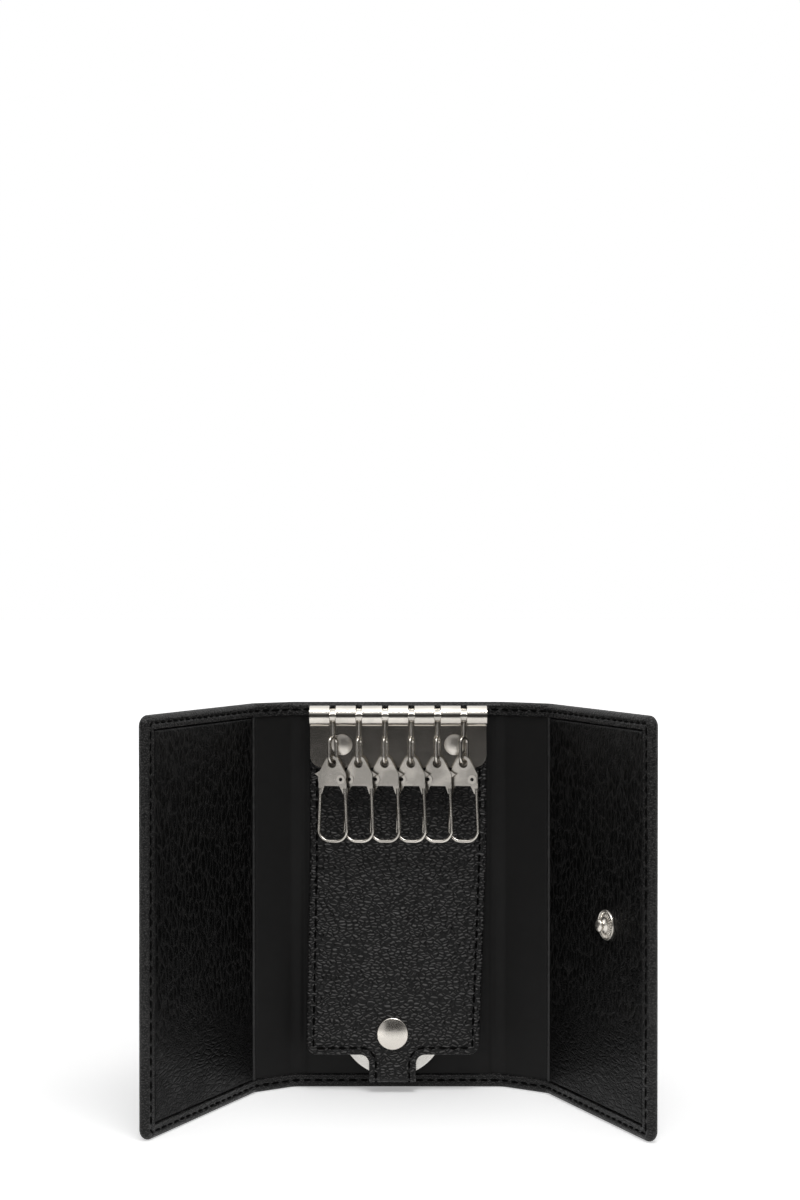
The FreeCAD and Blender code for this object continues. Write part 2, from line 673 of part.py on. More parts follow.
def split_ring():
    """Two flat turns of one band, joined by a step."""
    step, upper = mm("ring_step_angle"), mm("ring_turn + ring_turn_gap")
    axis = Vector(0, -1, 0)
    pieces = []
    for height in (0, upper):
        section = Part.Face(band(0, height))
        pieces.append(section.revolve(Vector(0, 0, 0), axis, 360 - step))
    ramp = []
    for number in range(RAMP_STEPS + 1):
        share = number / RAMP_STEPS
        rise = (1 - math.cos(math.pi * share)) / 2
        ramp.append(band(step * (share - 1), upper * rise))
    pieces.append(Part.makeLoft(ramp, True, True))
    return pieces[0].fuse(pieces[1:])


ring = doc.addObject("Part::Feature", "KeyRing")
ring.Shape = split_ring()
node(ring, "key_ring", ring_frame)

# Hooks


def cylinder(radius, height, at, turn=Rotation()):
    rod = doc.addObject("Part::Cylinder", "Rod")
    rod.setExpression("Radius", spelled(radius))
    rod.setExpression("Height", spelled(height))
    rod.Placement = Placement(at, turn)
    return rod


def half_ring(at, turn):
    bow = doc.addObject("Part::Torus", "Bow")
    bow.setExpression("Radius1", spelled("(eye_width - eye_wire) / 2"))
    bow.setExpression("Radius2", spelled("eye_wire / 2"))
    bow.Angle3 = 180
    bow.Placement = Placement(at, turn)
    return bow


def hanger(label, frame, eye_yaw):
    """Eye on the rod, shank, and the wire eye that the hook hangs in."""
    barrel = cylinder(
        "hanger_diameter / 2",
        "hanger_width",
        Vector(-mm("hanger_width") / 2, 0, 0),
        Rotation(Vector(0, 1, 0), 90),
    )
    shank_top, shank_end = "(hanger_diameter + rod_diameter) / 4", "hanger_drop + eye_wire / 2"
    shank = cylinder("hanger_shank / 2", f"{shank_end} - {shank_top}", Vector(0, 0, -mm(shank_end)))
    yaw = Rotation(Vector(*upright), -eye_yaw)
    # a bow lies in the XY plane with its back to +Y: this stands it up in the YZ plane, back up
    stand = Rotation(Vector(1, 1, 1), 120)
    wire = []
    for drop, roll in (("hanger_drop + eye_width / 2", 0), ("eye_end - eye_width / 2", 180)):
        spin = Rotation(Vector(*sideways), roll)
        wire.append(half_ring(Vector(0, 0, -mm(drop)), yaw.multiply(spin).multiply(stand)))
    for sign in (-1, 1):
        leg_y = Vector(0, sign * mm("eye_width - eye_wire") / 2, -mm("eye_end - eye_width / 2"))
        wire.append(cylinder("eye_wire / 2", "eye_height - eye_width", yaw.multVec(leg_y)))
    whole = doc.addObject("Part::MultiFuse", "Hanger")
    whole.Shapes = [barrel, shank] + wire
    hole = cylinder(
        "rod_diameter / 2 + rod_play",
        "hanger_width + 2 * overrun",
        Vector(-mm("hanger_width / 2 + overrun"), 0, 0),
        Rotation(Vector(0, 1, 0), 90),
    )
    bored = doc.addObject("Part::Cut", "BoredHanger")
    bored.Base = whole
    bored.Tool = hole
    node(bored, label, frame)


def hook_plate(label, frame):
    """Sheet folded over the wire eye, with room for the loop's ends between its sides."""
    body = new_body(label, frame)
    depth = ("-hook_thick_half", "hook_thick_half")
    neck_x = "hook_top_radius * cos(hook_neck_angle)"
    neck_z = "hole_z + hook_top_radius * sin(hook_neck_angle)"
    outline = [
        (f"-{neck_x}", neck_z),
        ("-hook_half", "hole_z - hook_shoulder"),
        ("-hook_half", "plate_end"),
        ("hook_half", "plate_end"),
        ("hook_half", "hole_z - hook_shoulder"),
        (neck_x, neck_z),
    ]
    middle = ("0", "hole_z")
    add(body, "XZ_Plane", [outline], *depth)
    round_corners(body, [(f"{sign}hook_half", "plate_end") for sign in ("-", "")], "hook_corner")
    add(body, "XZ_Plane", [(middle, "hook_top_radius")], *depth)
    rivet = ("-hook_rivet_offset", "hook_rivet_z")
    holes = [(middle, "hook_hole / 2"), (rivet, "hook_rivet_barrel / 2 + press_play")]
    cut(body, "XZ_Plane", holes, "-hook_thick_half - overrun", "hook_thick_half + overrun")
    slot = rectangle("-hook_slot / 2", "hook_slot / 2", "plate_end - overrun", "hole_z - hook_fold_drop")
    cut(body, "YZ_Plane", [slot], "-hook_half - overrun", "hook_half + overrun")


def hook_rivet(label, frame):
    body = new_body(label, frame)
    centre = ("-hook_rivet_offset", "hook_rivet_z")
    bore = "hook_rivet_bore"
    disc(body, centre, "hook_rivet_barrel", "-hook_thick_half", "hook_thick_half", bore)
    disc(body, centre, "hook_rivet_head", "-hook_thick_half - hook_rivet_rim", "-hook_thick_half", bore)
    disc(body, centre, "hook_rivet_head", "hook_thick_half", "hook_thick_half + hook_rivet_rim", bore)


def wire_path():
    """Centre line of the loop: two flared legs, two bends and a short bottom, in the XZ plane."""
    radius, half = mm("loop_corner"), mm("(loop_width - loop_wire) / 2")
    top, low = mm("plate_end - loop_gap"), mm("loop_end + loop_wire / 2")
    flare = math.atan2(half - mm("(loop_top_width - loop_wire) / 2"), top - low - radius)

    def bent(angle):
        across = half - radius + radius * math.cos(angle)
        return Vector(across, 0, low + radius + radius * math.sin(angle))

    def other(point):
        return Vector(-point.x, 0, point.z)

    quarter = math.pi / 2
    start, middle, end = bent(flare), bent((flare - quarter) / 2), bent(-quarter)
    head = Vector(start.x - (top - start.z) * math.tan(flare), 0, top)
    edges = [
        Part.LineSegment(head, start),
        Part.Arc(start, middle, end),
        Part.LineSegment(end, other(end)),
        Part.Arc(other(end), other(middle), other(start)),
        Part.LineSegment(other(start), other(head)),
    ]
    return head, Part.Wire([edge.toShape() for edge in edges]), start - head


def tab(corners):
    """A flattened stretch of the wire."""
    half = mm("tab_thickness / 2")
    points = [Vector(across, -half, up) for across, up in corners]
    return Part.Face(Part.makePolygon(points + points[:1])).extrude(Vector(0, 2 * half, 0))


def wire_loop():
    """Wire bent into a U, flattened at both ends: one turns on the rivet, one has a pointed ear."""
    head, path, along = wire_path()
    profile = Part.Wire(Part.makeCircle(mm("loop_wire / 2"), head, along))
    wire = path.makePipeShell([profile], True, False)
    half, wide = mm("loop_wire / 2"), mm("tab_width")
    low = head.z - mm("tab_blend")
    ear_middle = mm("hole_z - hook_shoulder")
    ear_low, ear_top = ear_middle - mm("ear_height / 2"), ear_middle + mm("ear_height / 2")
    free_end = [
        (head.x - half, low),
        (head.x + half, low),
        (mm("hook_half"), mm("plate_end")),
        (mm("hook_half"), ear_low),
        (mm("hook_half + ear_reach"), ear_middle),
        (mm("hook_half") - half, ear_top),
        (head.x - wide, ear_top - half),
        (head.x - wide, mm("plate_end")),
    ]
    pivot_x, pivot_z = -mm("hook_rivet_offset"), mm("hook_rivet_z")
    radius, thin = mm("pivot_radius"), mm("tab_thickness / 2")
    pivot_end = [
        (half - head.x, low),
        (-half - head.x, low),
        (pivot_x - radius, pivot_z),
        (pivot_x + radius, pivot_z),
    ]
    pivot = Part.makeCylinder(radius, 2 * thin, Vector(pivot_x, -thin, pivot_z), Vector(0, 1, 0))
    reach = mm("overrun")
    bore = Part.makeCylinder(
        mm("hook_rivet_barrel / 2 + pivot_play"),
        2 * reach,
        Vector(pivot_x, -reach, pivot_z),
        Vector(0, 1, 0),
    )
    whole = wire.fuse([tab(free_end), tab(pivot_end), pivot])
    return whole.cut(bore)


hanger_frames, hook_frames, hook_eye_yaws = [], [], []
loop_shape = wire_loop()
for number, place in enumerate(hook_places, start=1):
    at_end = number in (1, HOOKS)
    rod_point = (mm(place), mm("rod_y"), mm("rod_z"))
    hanger_frame = turned(spine_frame, rod_point, sideways, -mm("hook_lean"))
    # the two end hooks hang with their other side to the front
    facing = (180 if at_end else 0) - mm("hook_yaw")
    hook_frame = turned(hanger_frame, (0, 0, 0), upright, facing)
    eye_yaw = mm("end_eye_yaw") if at_end else mm("hook_yaw")
    hanger_frames.append(hanger_frame)
    hook_frames.append(hook_frame)
    hook_eye_yaws.append(eye_yaw)
    hanger(f"hook_hanger_{number}", hanger_frame, eye_yaw)
    hook_plate(f"hook_plate_{number}", hook_frame)
    hook_rivet(f"hook_rivet_{number}", hook_frame)
    loop = doc.addObject("Part::Feature", "HookLoop")
    loop.Shape = loop_shape
    node(loop, f"hook_loop_{number}", hook_frame)

doc.recompute()
for piece in doc.Objects:
    if "Invalid" in piece.State or "Error" in piece.State:
        raise ValueError(f"{piece.Name} of {piece.Label} failed: {piece.State}")
for piece in nodes:
    if piece.Shape.isNull() or not piece.Shape.isValid():
        raise ValueError(f"{piece.Label} has no sound shape")

os.makedirs("parts", exist_ok=True)
for piece in nodes:
    piece.Shape.exportStep(f"parts/{piece.Label}.step")
    box = piece.Shape.BoundBox
    print(piece.Label, len(piece.Shape.Solids), f"{piece.Shape.Volume:.2f}", box)
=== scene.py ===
# %% [markdown]
# # A black leather key case, standing open
# The case has a stiff spine, two narrow fold strips called gussets and two flaps. Inside hang
# a nickel key rail with its hooks and a leather tongue that holds a split ring. Most of the metal
# comes from the solid model as it is. Leather, lining and thread are made here around that model,
# because a solid cannot show how leather turns over an edge or bends at a fold.

# %% Load the solid model
import json
import math

import bmesh
import bpy
from mathutils import Matrix, Vector


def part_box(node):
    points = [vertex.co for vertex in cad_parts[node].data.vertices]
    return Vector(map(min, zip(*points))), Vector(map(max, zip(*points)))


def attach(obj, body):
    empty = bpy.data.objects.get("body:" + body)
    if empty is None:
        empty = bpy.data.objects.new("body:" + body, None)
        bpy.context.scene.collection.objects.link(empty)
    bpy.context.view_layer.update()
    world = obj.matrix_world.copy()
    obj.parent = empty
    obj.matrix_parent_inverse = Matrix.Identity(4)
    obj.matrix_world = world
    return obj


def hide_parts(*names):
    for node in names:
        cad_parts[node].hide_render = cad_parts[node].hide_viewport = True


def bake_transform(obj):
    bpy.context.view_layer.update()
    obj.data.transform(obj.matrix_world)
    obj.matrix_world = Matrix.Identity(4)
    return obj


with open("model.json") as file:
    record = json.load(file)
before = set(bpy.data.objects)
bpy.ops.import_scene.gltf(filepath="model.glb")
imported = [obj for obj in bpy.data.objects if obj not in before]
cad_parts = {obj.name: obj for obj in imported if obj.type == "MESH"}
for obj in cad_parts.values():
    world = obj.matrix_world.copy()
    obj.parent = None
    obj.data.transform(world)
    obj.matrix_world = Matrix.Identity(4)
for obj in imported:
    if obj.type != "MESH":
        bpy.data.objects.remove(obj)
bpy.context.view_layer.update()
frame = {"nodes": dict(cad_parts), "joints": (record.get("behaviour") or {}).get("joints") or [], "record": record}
MM = 0.001
joints = {joint["name"]: joint for joint in frame["joints"]}

# %% [markdown]
# ## Node trees as sums
# A finish is a small tree of shader nodes. Written node by node it is long and hard to read, so
# `Value` wraps one socket and lets plain Python sums add the Math nodes. `Nodes` owns a tree, and
# its one method `add` makes any other node. `Finish` is such a tree for a material.


# %% Sums of sockets
class Value:
    """A socket that takes part in sums: every operator adds a Math node."""

    def __init__(self, nodes, socket):
        self.nodes = nodes
        self.socket = socket

    def beside(self, output):
        """Another output of the same node."""
        return Value(self.nodes, self.socket.node.outputs[output])

    def math_node(self, operation, first, second):
        return self.nodes.add("ShaderNodeMath", {"operation": operation}, {0: first, 1: second})

    def __add__(self, other):
        return self.math_node("ADD", self, other)

    def __sub__(self, other):
        return self.math_node("SUBTRACT", self, other)

    def __rsub__(self, other):
        return self.math_node("SUBTRACT", other, self)

    def __mul__(self, other):
        return self.math_node("MULTIPLY", self, other)

    __radd__ = __add__
    __rmul__ = __mul__


# %% A tree of nodes
class Nodes:
    """A node tree that values and links are given to."""

    def __init__(self, tree):
        self.tree = tree

    def add(self, kind, settings=None, sockets=None, output=0):
        """Any node: its type, its settings, and the values or links of its sockets."""
        node = self.tree.nodes.new(kind)
        for name, value in (settings or {}).items():
            setattr(node, name, value)
        for name, value in (sockets or {}).items():
            self.give(node.inputs[name], value)
        return Value(self, node.outputs[output])

    def give(self, socket, value):
        if isinstance(value, Value):
            self.tree.links.new(value.socket, socket)
        else:
            socket.default_value = value

    def mix(self, share, first, second):
        """A colour between two colours; the node keeps these sockets for colours."""
        sockets = {0: share, 6: first, 7: second}
        return self.add("ShaderNodeMix", {"data_type": "RGBA"}, sockets, output=2)


# %% A material that is built by sums
class Finish(Nodes):
    """A material with one Principled shader."""

    def __init__(self, name, **constants):
        self.material = bpy.data.materials.new(name)
        self.material.use_nodes = True
        super().__init__(self.material.node_tree)
        self.shader = self.tree.nodes["Principled BSDF"]
        self.set(**constants)

    def set(self, **inputs):
        for name, value in inputs.items():
            self.give(self.shader.inputs[name.replace("_", " ")], value)

    def place(self, stretch=(1, 1, 1), turn=(0, 0, 0)):
        """Object coordinates in millimetres, stretched and turned."""
        where = self.add("ShaderNodeTexCoord", output="Object")
        scale = [1 / (MM * share) for share in stretch]
        return self.add("ShaderNodeMapping", None, {"Vector": where, "Rotation": turn, "Scale": scale})

    def noise(self, where, size, detail=2.0):
        """Noise between 0 and 1, with lumps of about that size in millimetres."""
        sockets = {"Vector": where, "Scale": 1 / size, "Detail": detail}
        return self.add("ShaderNodeTexNoise", None, sockets)

    def shifted(self, where, amount, size):
        """A place that wanders by up to that amount, so that a pattern loses its regular look."""
        drift = self.noise(where, size, detail=1.0).beside("Color")
        sockets = {0: drift, 1: (amount, amount, amount), 2: where}
        return self.add("ShaderNodeVectorMath", {"operation": "MULTIPLY_ADD"}, sockets)

    def cells(self, where, size):
        """Rounded cells of about that size in millimetres: 0 in the furrows between them."""
        settings = {"feature": "DISTANCE_TO_EDGE"}
        return self.add("ShaderNodeTexVoronoi", settings, {"Vector": where, "Scale": 1 / size})

    def ramp(self, value, low, high):
        """0 below low, 1 above high, smooth between."""
        sockets = {"Value": value, "From Min": low, "From Max": high}
        return self.add("ShaderNodeMapRange", {"interpolation_type": "SMOOTHSTEP"}, sockets)

    def relief(self, height, depth):
        """Height between 0 and 1 as a bump of that depth in millimetres."""
        sockets = {"Strength": 1.0, "Distance": depth * MM, "Height": height}
        self.set(Normal=self.add("ShaderNodeBump", None, sockets))


# %% [markdown]
# ## Leather
# The case is of one black leather that is worked in two ways. On the pockets it is pressed flat and
# glossy, with long creases that run up the flap and lie across near its foot. On the outside, on
# the hems and on the tongue it keeps its pebbles. Both are cells with furrows between them, from
# a Voronoi pattern whose places wander a little; for creases the cells are stretched. Lighter
# colour along the upright crease lines and on the upper rims of the pebbles is a painted
# highlight, where light from above would catch them.

# %% Leathers of the case and of the tongue
WARMTH = (1, 0.97, 0.95)


def grey(value):
    """A grey with a trace of warmth."""
    return (*(value * share for share in WARMTH), 1)


def pebbled(finish, where, size, edge, rise):
    """Pebbles as heights between 0 and 1, and their upper rims as a mask for a painted highlight where light from
    above falls.
    """
    above = finish.add("ShaderNodeVectorMath", {"operation": "ADD"}, {0: where, 1: (0, 0, rise)})
    here, higher = (finish.ramp(finish.cells(place, size), 0.0, edge) for place in (where, above))
    return here, finish.ramp(here - higher, low=0.0, high=0.6)


def case_leather(name, crease_depth, shine, rim_highlight):
    """Pebbles with creases over them: upright ones, and ones across near the foot."""
    finish = Finish(name, Specular_IOR_Level=shine, Coat_Roughness=0.2)
    plain = finish.place()
    tall, wide = finish.place(stretch=(1, 1, 2.4)), finish.place(stretch=(2.2, 2.2, 1))
    loose = finish.shifted(plain, amount=0.7, size=1.2)
    grain, rims = pebbled(finish, loose, size=0.8, edge=0.3, rise=0.22)
    upright = finish.cells(finish.shifted(tall, amount=1.6, size=2.4), size=1.7)
    across = finish.cells(finish.shifted(wide, amount=1.4, size=2.0), size=1.3)
    height = finish.add("ShaderNodeSeparateXYZ", None, {0: plain}, output="Z")
    # The foot ends about 20 mm up, on a line that wanders.
    foot = 1 - finish.ramp(height + 26 * finish.noise(plain, size=18), low=24, high=46)
    up_creases = finish.ramp(upright, low=0.0, high=0.3) * (1 - foot)
    creased = up_creases + finish.ramp(across, low=0.0, high=0.25) * foot
    patches = finish.ramp(finish.noise(plain, size=12, detail=3.0), low=0.35, high=0.65)
    # Pebbles are flatter and creases deeper in some patches than in others.
    finish.relief(grain * (0.55 - 0.3 * patches) + creased * (0.35 + 0.65 * patches), crease_depth)
    # Painted highlight: the colour is lighter along the upright crease lines above the foot, where light from
    # above would catch their edges.
    worn_tint_and_crease_highlight = (1 - finish.ramp(upright, low=0.0, high=0.1)) * (1 - foot)
    crease_highlighted = finish.mix(worn_tint_and_crease_highlight, grey(0.0008), grey(0.017))
    # Painted highlight: the upper rims of the pebbles are coloured lighter, as light from above would make them.
    finish.set(Base_Color=finish.mix(rims * rim_highlight, crease_highlighted, grey(0.07)))
    finish.set(Roughness=0.38 + 0.14 * finish.noise(plain, size=5) + 0.1 * (1 - creased))
    finish.set(Coat_Weight=0.04 + 0.08 * patches)
    return finish.material


def tongue_leather():
    finish = Finish("tongue_leather", Specular_IOR_Level=0.27)
    plain = finish.place(stretch=(1.6, 1.6, 1))
    loose = finish.shifted(plain, amount=0.8, size=1.6)
    pebbles, rims = pebbled(finish, loose, size=1.0, edge=0.36, rise=0.28)
    finish.relief(pebbles * 0.9 + finish.noise(plain, size=0.6) * 0.1, depth=0.3)
    # Painted highlight: the upper rims of the pebbles are coloured lighter, where light from above would fall on
    # them.
    finish.set(Base_Color=finish.mix(rims, grey(0.0003), grey(0.068)))
    finish.set(Roughness=0.5 - 0.1 * pebbles)
    return finish.material


# The hem leather alone gets the painted highlight on the upper rims of its pebbles.
flap_leather = case_leather("case_leather", crease_depth=0.2, shine=0.12, rim_highlight=0.0)
hem_leather = case_leather("hem_leather", crease_depth=0.16, shine=0.22, rim_highlight=0.6)
edge_leather = case_leather("edge_leather", crease_depth=0.05, shine=0.45, rim_highlight=0.0)
pebbled_leather = tongue_leather()
print("leathers:", [one.name for one in (flap_leather, hem_leather, edge_leather, pebbled_leather)])

# %% [markdown]
# ## Lining, thread and nickel
# The lining is plain black satin. Its weave is far finer than a pixel, so a slanting wave gives
# only the soft sheen of a twill. Nickel is metal with a warm tint; polishing leaves long fine
# scratches, which are noise stretched along the rail.


# %% Lining, thread and metals
def satin():
    finish = Finish("lining_satin", Specular_IOR_Level=0.2)
    plain = finish.place()
    slanted = finish.place(turn=(0, math.radians(40), 0))
    sockets = {"Vector": slanted, "Scale": 1.1, "Distortion": 0.4, "Detail": 1.0}
    twill = finish.add("ShaderNodeTexWave", {"wave_type": "BANDS"}, sockets, output=1)
    finish.relief(twill * 0.5 + finish.noise(plain, size=0.5) * 0.5, depth=0.03)
    finish.set(Base_Color=finish.mix(finish.noise(plain, size=9), grey(0.005), grey(0.008)))
    finish.set(Roughness=0.5 + 0.12 * finish.noise(plain, size=3))
    return finish.material


def waxed_thread():
    finish = Finish("black_thread", Specular_IOR_Level=0.05)
    twist = finish.noise(finish.place(), size=0.25)
    finish.set(Base_Color=finish.mix(twist, grey(0.0005), grey(0.002)))
    finish.set(Roughness=0.6 + 0.2 * twist)
    return finish.material


def nickel(name, tint, roughness, scratches, wear):
    """Metal with long fine scratches and darker, worn patches."""
    finish = Finish(name, Metallic=1.0)
    brushed = finish.noise(finish.place(stretch=(10, 1, 1)), size=0.3, detail=3.0)
    handled = finish.ramp(finish.noise(finish.place(), size=6, detail=1.0), low=0.35, high=0.65)
    worn_tint_and_crease_highlight = [share * (1 - wear) for share in tint[:3]] + [1]
    finish.set(Base_Color=finish.mix(0.4 * brushed + 0.6 * handled, worn_tint_and_crease_highlight, tint))
    finish.set(Roughness=roughness + scratches * brushed)
    return finish.material


NICKEL_TINT = (0.74, 0.70, 0.64, 1)
STEEL_TINT = (0.76, 0.74, 0.70, 1)
lining_satin = satin()
thread = waxed_thread()
metals = {
    "rail_nickel": nickel("rail_nickel", NICKEL_TINT, roughness=0.14, scratches=0.06, wear=0.25),
    "hook_nickel": nickel("hook_nickel", NICKEL_TINT, roughness=0.2, scratches=0.1, wear=0.45),
    "snap_nickel": nickel("snap_nickel", NICKEL_TINT, roughness=0.18, scratches=0.05, wear=0.12),
    "ring_steel": nickel("ring_steel", STEEL_TINT, roughness=0.22, scratches=0.14, wear=0.12),
}
snap_nickel = metals["snap_nickel"]
rivet_nickel = nickel("rivet_nickel", NICKEL_TINT, roughness=0.28, scratches=0.1, wear=0.12)
print("finishes:", len(bpy.data.materials))

# %% [markdown]
# ## Metal that the solid model already has right
# Rail, hooks, ring and the plain halves of the snaps are hard pieces with true edges. They stay as
# they are and only change their finish. The rolled rims of the hook rivets shine more than the hooks.

# %% Finish the metal nodes
slots = {one["node"]: one["material_slot"] for one in frame["record"]["subparts"]}
metal_nodes = [name for name, slot in slots.items() if slot in metals]
for name in metal_nodes:
    node = frame["nodes"][name]
    node.data.materials.clear()
    node.data.materials.append(snap_nickel if name.startswith("hook_rivet") else metals[slots[name]])
print("metal nodes:", len(metal_nodes))

# %% [markdown]
# ## The case in plan
# Seen from above, each half of the case is one line: along the spine, round the first fold, across
# the gusset, round the second fold and out along the flap. Real leather does not break at a fold,
# so both corners are arcs that touch the straight runs. `Course` gives a point for any distance
# along that line and any height off it, towards the inside of the case.


# %% A bent line with rounded corners
def left_of(way):
    """A quarter turn to the left."""
    return Vector((-way.y, way.x))


def turn_between(before, after):
    """Angle from one way to the next, and the side to which it turns."""
    bend = math.atan2(before.cross(after), before.dot(after))
    return abs(bend), left_of(before) * math.copysign(1, bend)


def unit_arc(before, side, angle):
    """Place on an arc of radius 1 that sets out one way and turns to a side by an angle."""
    return before * math.sin(angle) + side * (1 - math.cos(angle))


class Line:
    """A line in a plane: straight runs whose corners are rounded by arcs."""

    def __init__(self, corners, rounds):
        self.corners = corners
        self.rounds = rounds
        steps = [after - before for before, after in zip(corners, corners[1:])]
        self.ways = [step.normalized() for step in steps]
        self.starts = [sum(step.length for step in steps[:number]) for number in range(len(steps))]
        self.length = sum(step.length for step in steps)

    def at(self, along):
        """Point and way at a distance along the line, counted as if the corners were sharp."""
        run = max(sum(along >= start for start in self.starts) - 1, 0)
        for corner, radius in enumerate(self.rounds, 1):
            before, after = self.ways[corner - 1 : corner + 1]
            bend, side = turn_between(before, after)
            reach = radius * math.tan(bend / 2)
            past = along - self.starts[corner] + reach
            if 0 < past < 2 * reach:
                angle = bend * past / (2 * reach)
                arc = unit_arc(before, side, angle)
                way = before * math.cos(angle) + side * math.sin(angle)
                return self.corners[corner] - before * reach + arc * radius, way
        return self.corners[run] + self.ways[run] * (along - self.starts[run]), self.ways[run]


# %% The two halves of the case as such lines
FOLD_ROUNDS = (6 * MM, 3 * MM)
TOUCH = 0.01 * MM


def middle_of(spots):
    """Middle of the box round some points."""
    low, high = (Vector([pick(values) for values in zip(*spots)]) for pick in (min, max))
    return (low + high) / 2


class Course(Line):
    """The middle line of one half of the case, from the spine's middle to the flap's free edge."""

    def __init__(self, side):
        self.side = side
        self.inner = 1 if side == "left" else -1
        first = Vector(joints[f"{side}_gusset_fold"]["pos_m"]).to_2d()
        second = Vector(joints[f"{side}_flap_fold"]["pos_m"]).to_2d()
        super().__init__([Vector((0, 0)), first, second, self.free_edge(second)], FOLD_ROUNDS)
        self.first_fold, self.second_fold = self.starts[1:]
        self.half_way = (self.first_fold + self.second_fold) / 2

    def free_edge(self, fold):
        """Middle of the flap's free edge: the corners of the flap that lie farthest from its fold."""
        spots = [spot.co.to_2d() for spot in frame["nodes"][f"{self.side}_flap_cover"].data.vertices]
        reach = max((spot - fold).length for spot in spots)
        return middle_of([spot for spot in spots if (spot - fold).length > reach - TOUCH])

    def inwards(self):
        """Way off the inner face of the flap."""
        way = left_of(self.ways[-1])
        return Vector((way.x, way.y, 0)) * self.inner

    def place(self, along, height, off):
        """Point in space: distance along the line, height above the floor, and distance inwards."""
        point, way = self.at(along)
        spot = point + left_of(way) * (off * self.inner)
        return Vector((spot.x, spot.y, height))


courses = {side: Course(side) for side in ("left", "right")}
for side, course in courses.items():
    folds = [round(fold / MM, 2) for fold in (course.first_fold, course.second_fold)]
    print(side, "half: folds at", folds, "length", round(course.length / MM, 2), "mm")

# %% [markdown]
# ## Outer leather with its turned hems
# The outer leather is turned over the top, the bottom and the free edges. From an edge inwards the
# piece is first a full round, then the flat hem with a stitch furrow, then a step down to the bed
# on which lining and pocket lie. All of that depends only on the distance to the edge, so one grid
# of places is lifted by one function of that distance, once for the outside and once for the inside.
# The closure's socket goes through the left flap, so a Boolean cuts a round hole in that leather.

# %% Sizes of the hems
low_corner, high_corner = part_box("spine_cover")
CASE_HEIGHT = high_corner.z - low_corner.z
CASE_HALF = (high_corner.y - low_corner.y) / 2
LINING_OFF = -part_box("spine_lining")[0].y
BED_OFF = -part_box("spine_board")[0].y - TOUCH
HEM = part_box("spine_lining")[0].z
STEP_START = HEM - 0.35 * MM
STEP_END = HEM + 0.1 * MM
FLAP_CORNER = 3 * MM
STITCH_INSET = 2.1 * MM
FURROW_DEPTH = 0.16 * MM
FURROW_WIDTH = 0.4 * MM
print("case", round(CASE_HEIGHT / MM, 1), "mm high, hem", round(HEM / MM, 1), "mm")


def smooth(value, low, high):
    share = min(max((value - low) / (high - low), 0), 1)
    return share * share * (3 - 2 * share)


def hollow(distance, depth, width):
    """Depth of a soft furrow at a distance from its middle."""
    return depth * math.exp(-((distance / width) ** 2))


def edge_round(inset, radius):
    """Half thickness of a full round edge at a distance from it."""
    left = 1 - min(max(inset, 0), radius) / radius
    return radius * math.sqrt(1 - left * left)


def hem_off(inset):
    """How far the inside of the leather lies from the middle line, at a distance from the edge."""
    hem = edge_round(inset, CASE_HALF) - hollow(inset - STITCH_INSET, FURROW_DEPTH, FURROW_WIDTH)
    return hem + (BED_OFF - hem) * smooth(inset, STEP_START, STEP_END)


# %% Grids that are fine where the leather turns
EDGE_STEPS = [0, 0.06, 0.2, 0.45, 0.8, 1.2, 1.5, 1.75, 1.95, 2.1]
EDGE_STEPS += [2.25, 2.45, 2.8, 3.3, 3.65, 3.8, 3.95, 4.1, 4.6]


def even(start, end, step):
    count = max(1, round(abs(end - start) / step))
    return [start + (end - start) * number / count for number in range(count + 1)]


def from_edges(low, high, step, low_edge=True):
    """Places between two ends, close together beside an edge; the lower end need not be one."""
    near = [inset * MM for inset in EDGE_STEPS]
    first = [low + inset for inset in near] if low_edge else [low]
    last = [high - inset for inset in reversed(near)]
    return first + even(first[-1], last[0], step)[1:-1] + last


def quarter_round(across, up, radius):
    """Moves a place in a corner square onto the quarter disc of that radius."""
    u, v = across / radius, up / radius
    return radius * u * math.sqrt(1 - v * v / 2), radius * v * math.sqrt(1 - u * u / 2)


def hemmed_place(along, height, free_edge):
    """A place of a hemmed piece as (along, height, distance to the nearest hemmed edge)."""
    middle = CASE_HEIGHT / 2
    rise = abs(height - middle)
    inset = middle - rise
    if free_edge is not None:
        inset = min(inset, free_edge - along)
        across = along - (free_edge - FLAP_CORNER)
        up = rise - (middle - FLAP_CORNER)
        if across > 0 and up > 0:
            across, up = quarter_round(across, up, FLAP_CORNER)
            inset = FLAP_CORNER - math.hypot(across, up)
            along = free_edge - FLAP_CORNER + across
            rise = middle - FLAP_CORNER + up
    return along, middle + math.copysign(rise, height - middle), max(inset, 0)


# %% Skin between two grids of points
SHARP_ANGLE = math.radians(50)
WELD = 1e-7
SLIVER = 1e-8


def linked(name, data):
    """A new object in the scene."""
    made = bpy.data.objects.new(name, data)
    bpy.context.scene.collection.objects.link(made)
    return made


def new_piece(name, mesh, material):
    mesh.materials.append(material)
    return linked(name, mesh)


def as_mesh(name, work):
    """Turns a bmesh into a mesh and lets go of it."""
    mesh = bpy.data.meshes.new(name)
    work.to_mesh(mesh)
    work.free()
    return mesh


def modified(thing):
    """The mesh of an object as its modifiers make it."""
    bpy.context.view_layer.update()
    graph = bpy.context.evaluated_depsgraph_get()
    return bpy.data.meshes.new_from_object(thing.evaluated_get(graph), depsgraph=graph)


def finished(name, work, material):
    """Turns a bmesh into a piece: normals outwards, smooth but for sharp edges."""
    bmesh.ops.recalc_face_normals(work, faces=work.faces)
    for face in work.faces:
        face.smooth = True
    mesh = as_mesh(name, work)
    mesh.set_sharp_from_angle(angle=SHARP_ANGLE)
    return new_piece(name, mesh, material)


def weld(work):
    """Joins points that lie on each other and drops faces without a surface."""
    bmesh.ops.remove_doubles(work, verts=work.verts, dist=WELD)
    bmesh.ops.dissolve_degenerate(work, edges=work.edges, dist=SLIVER)


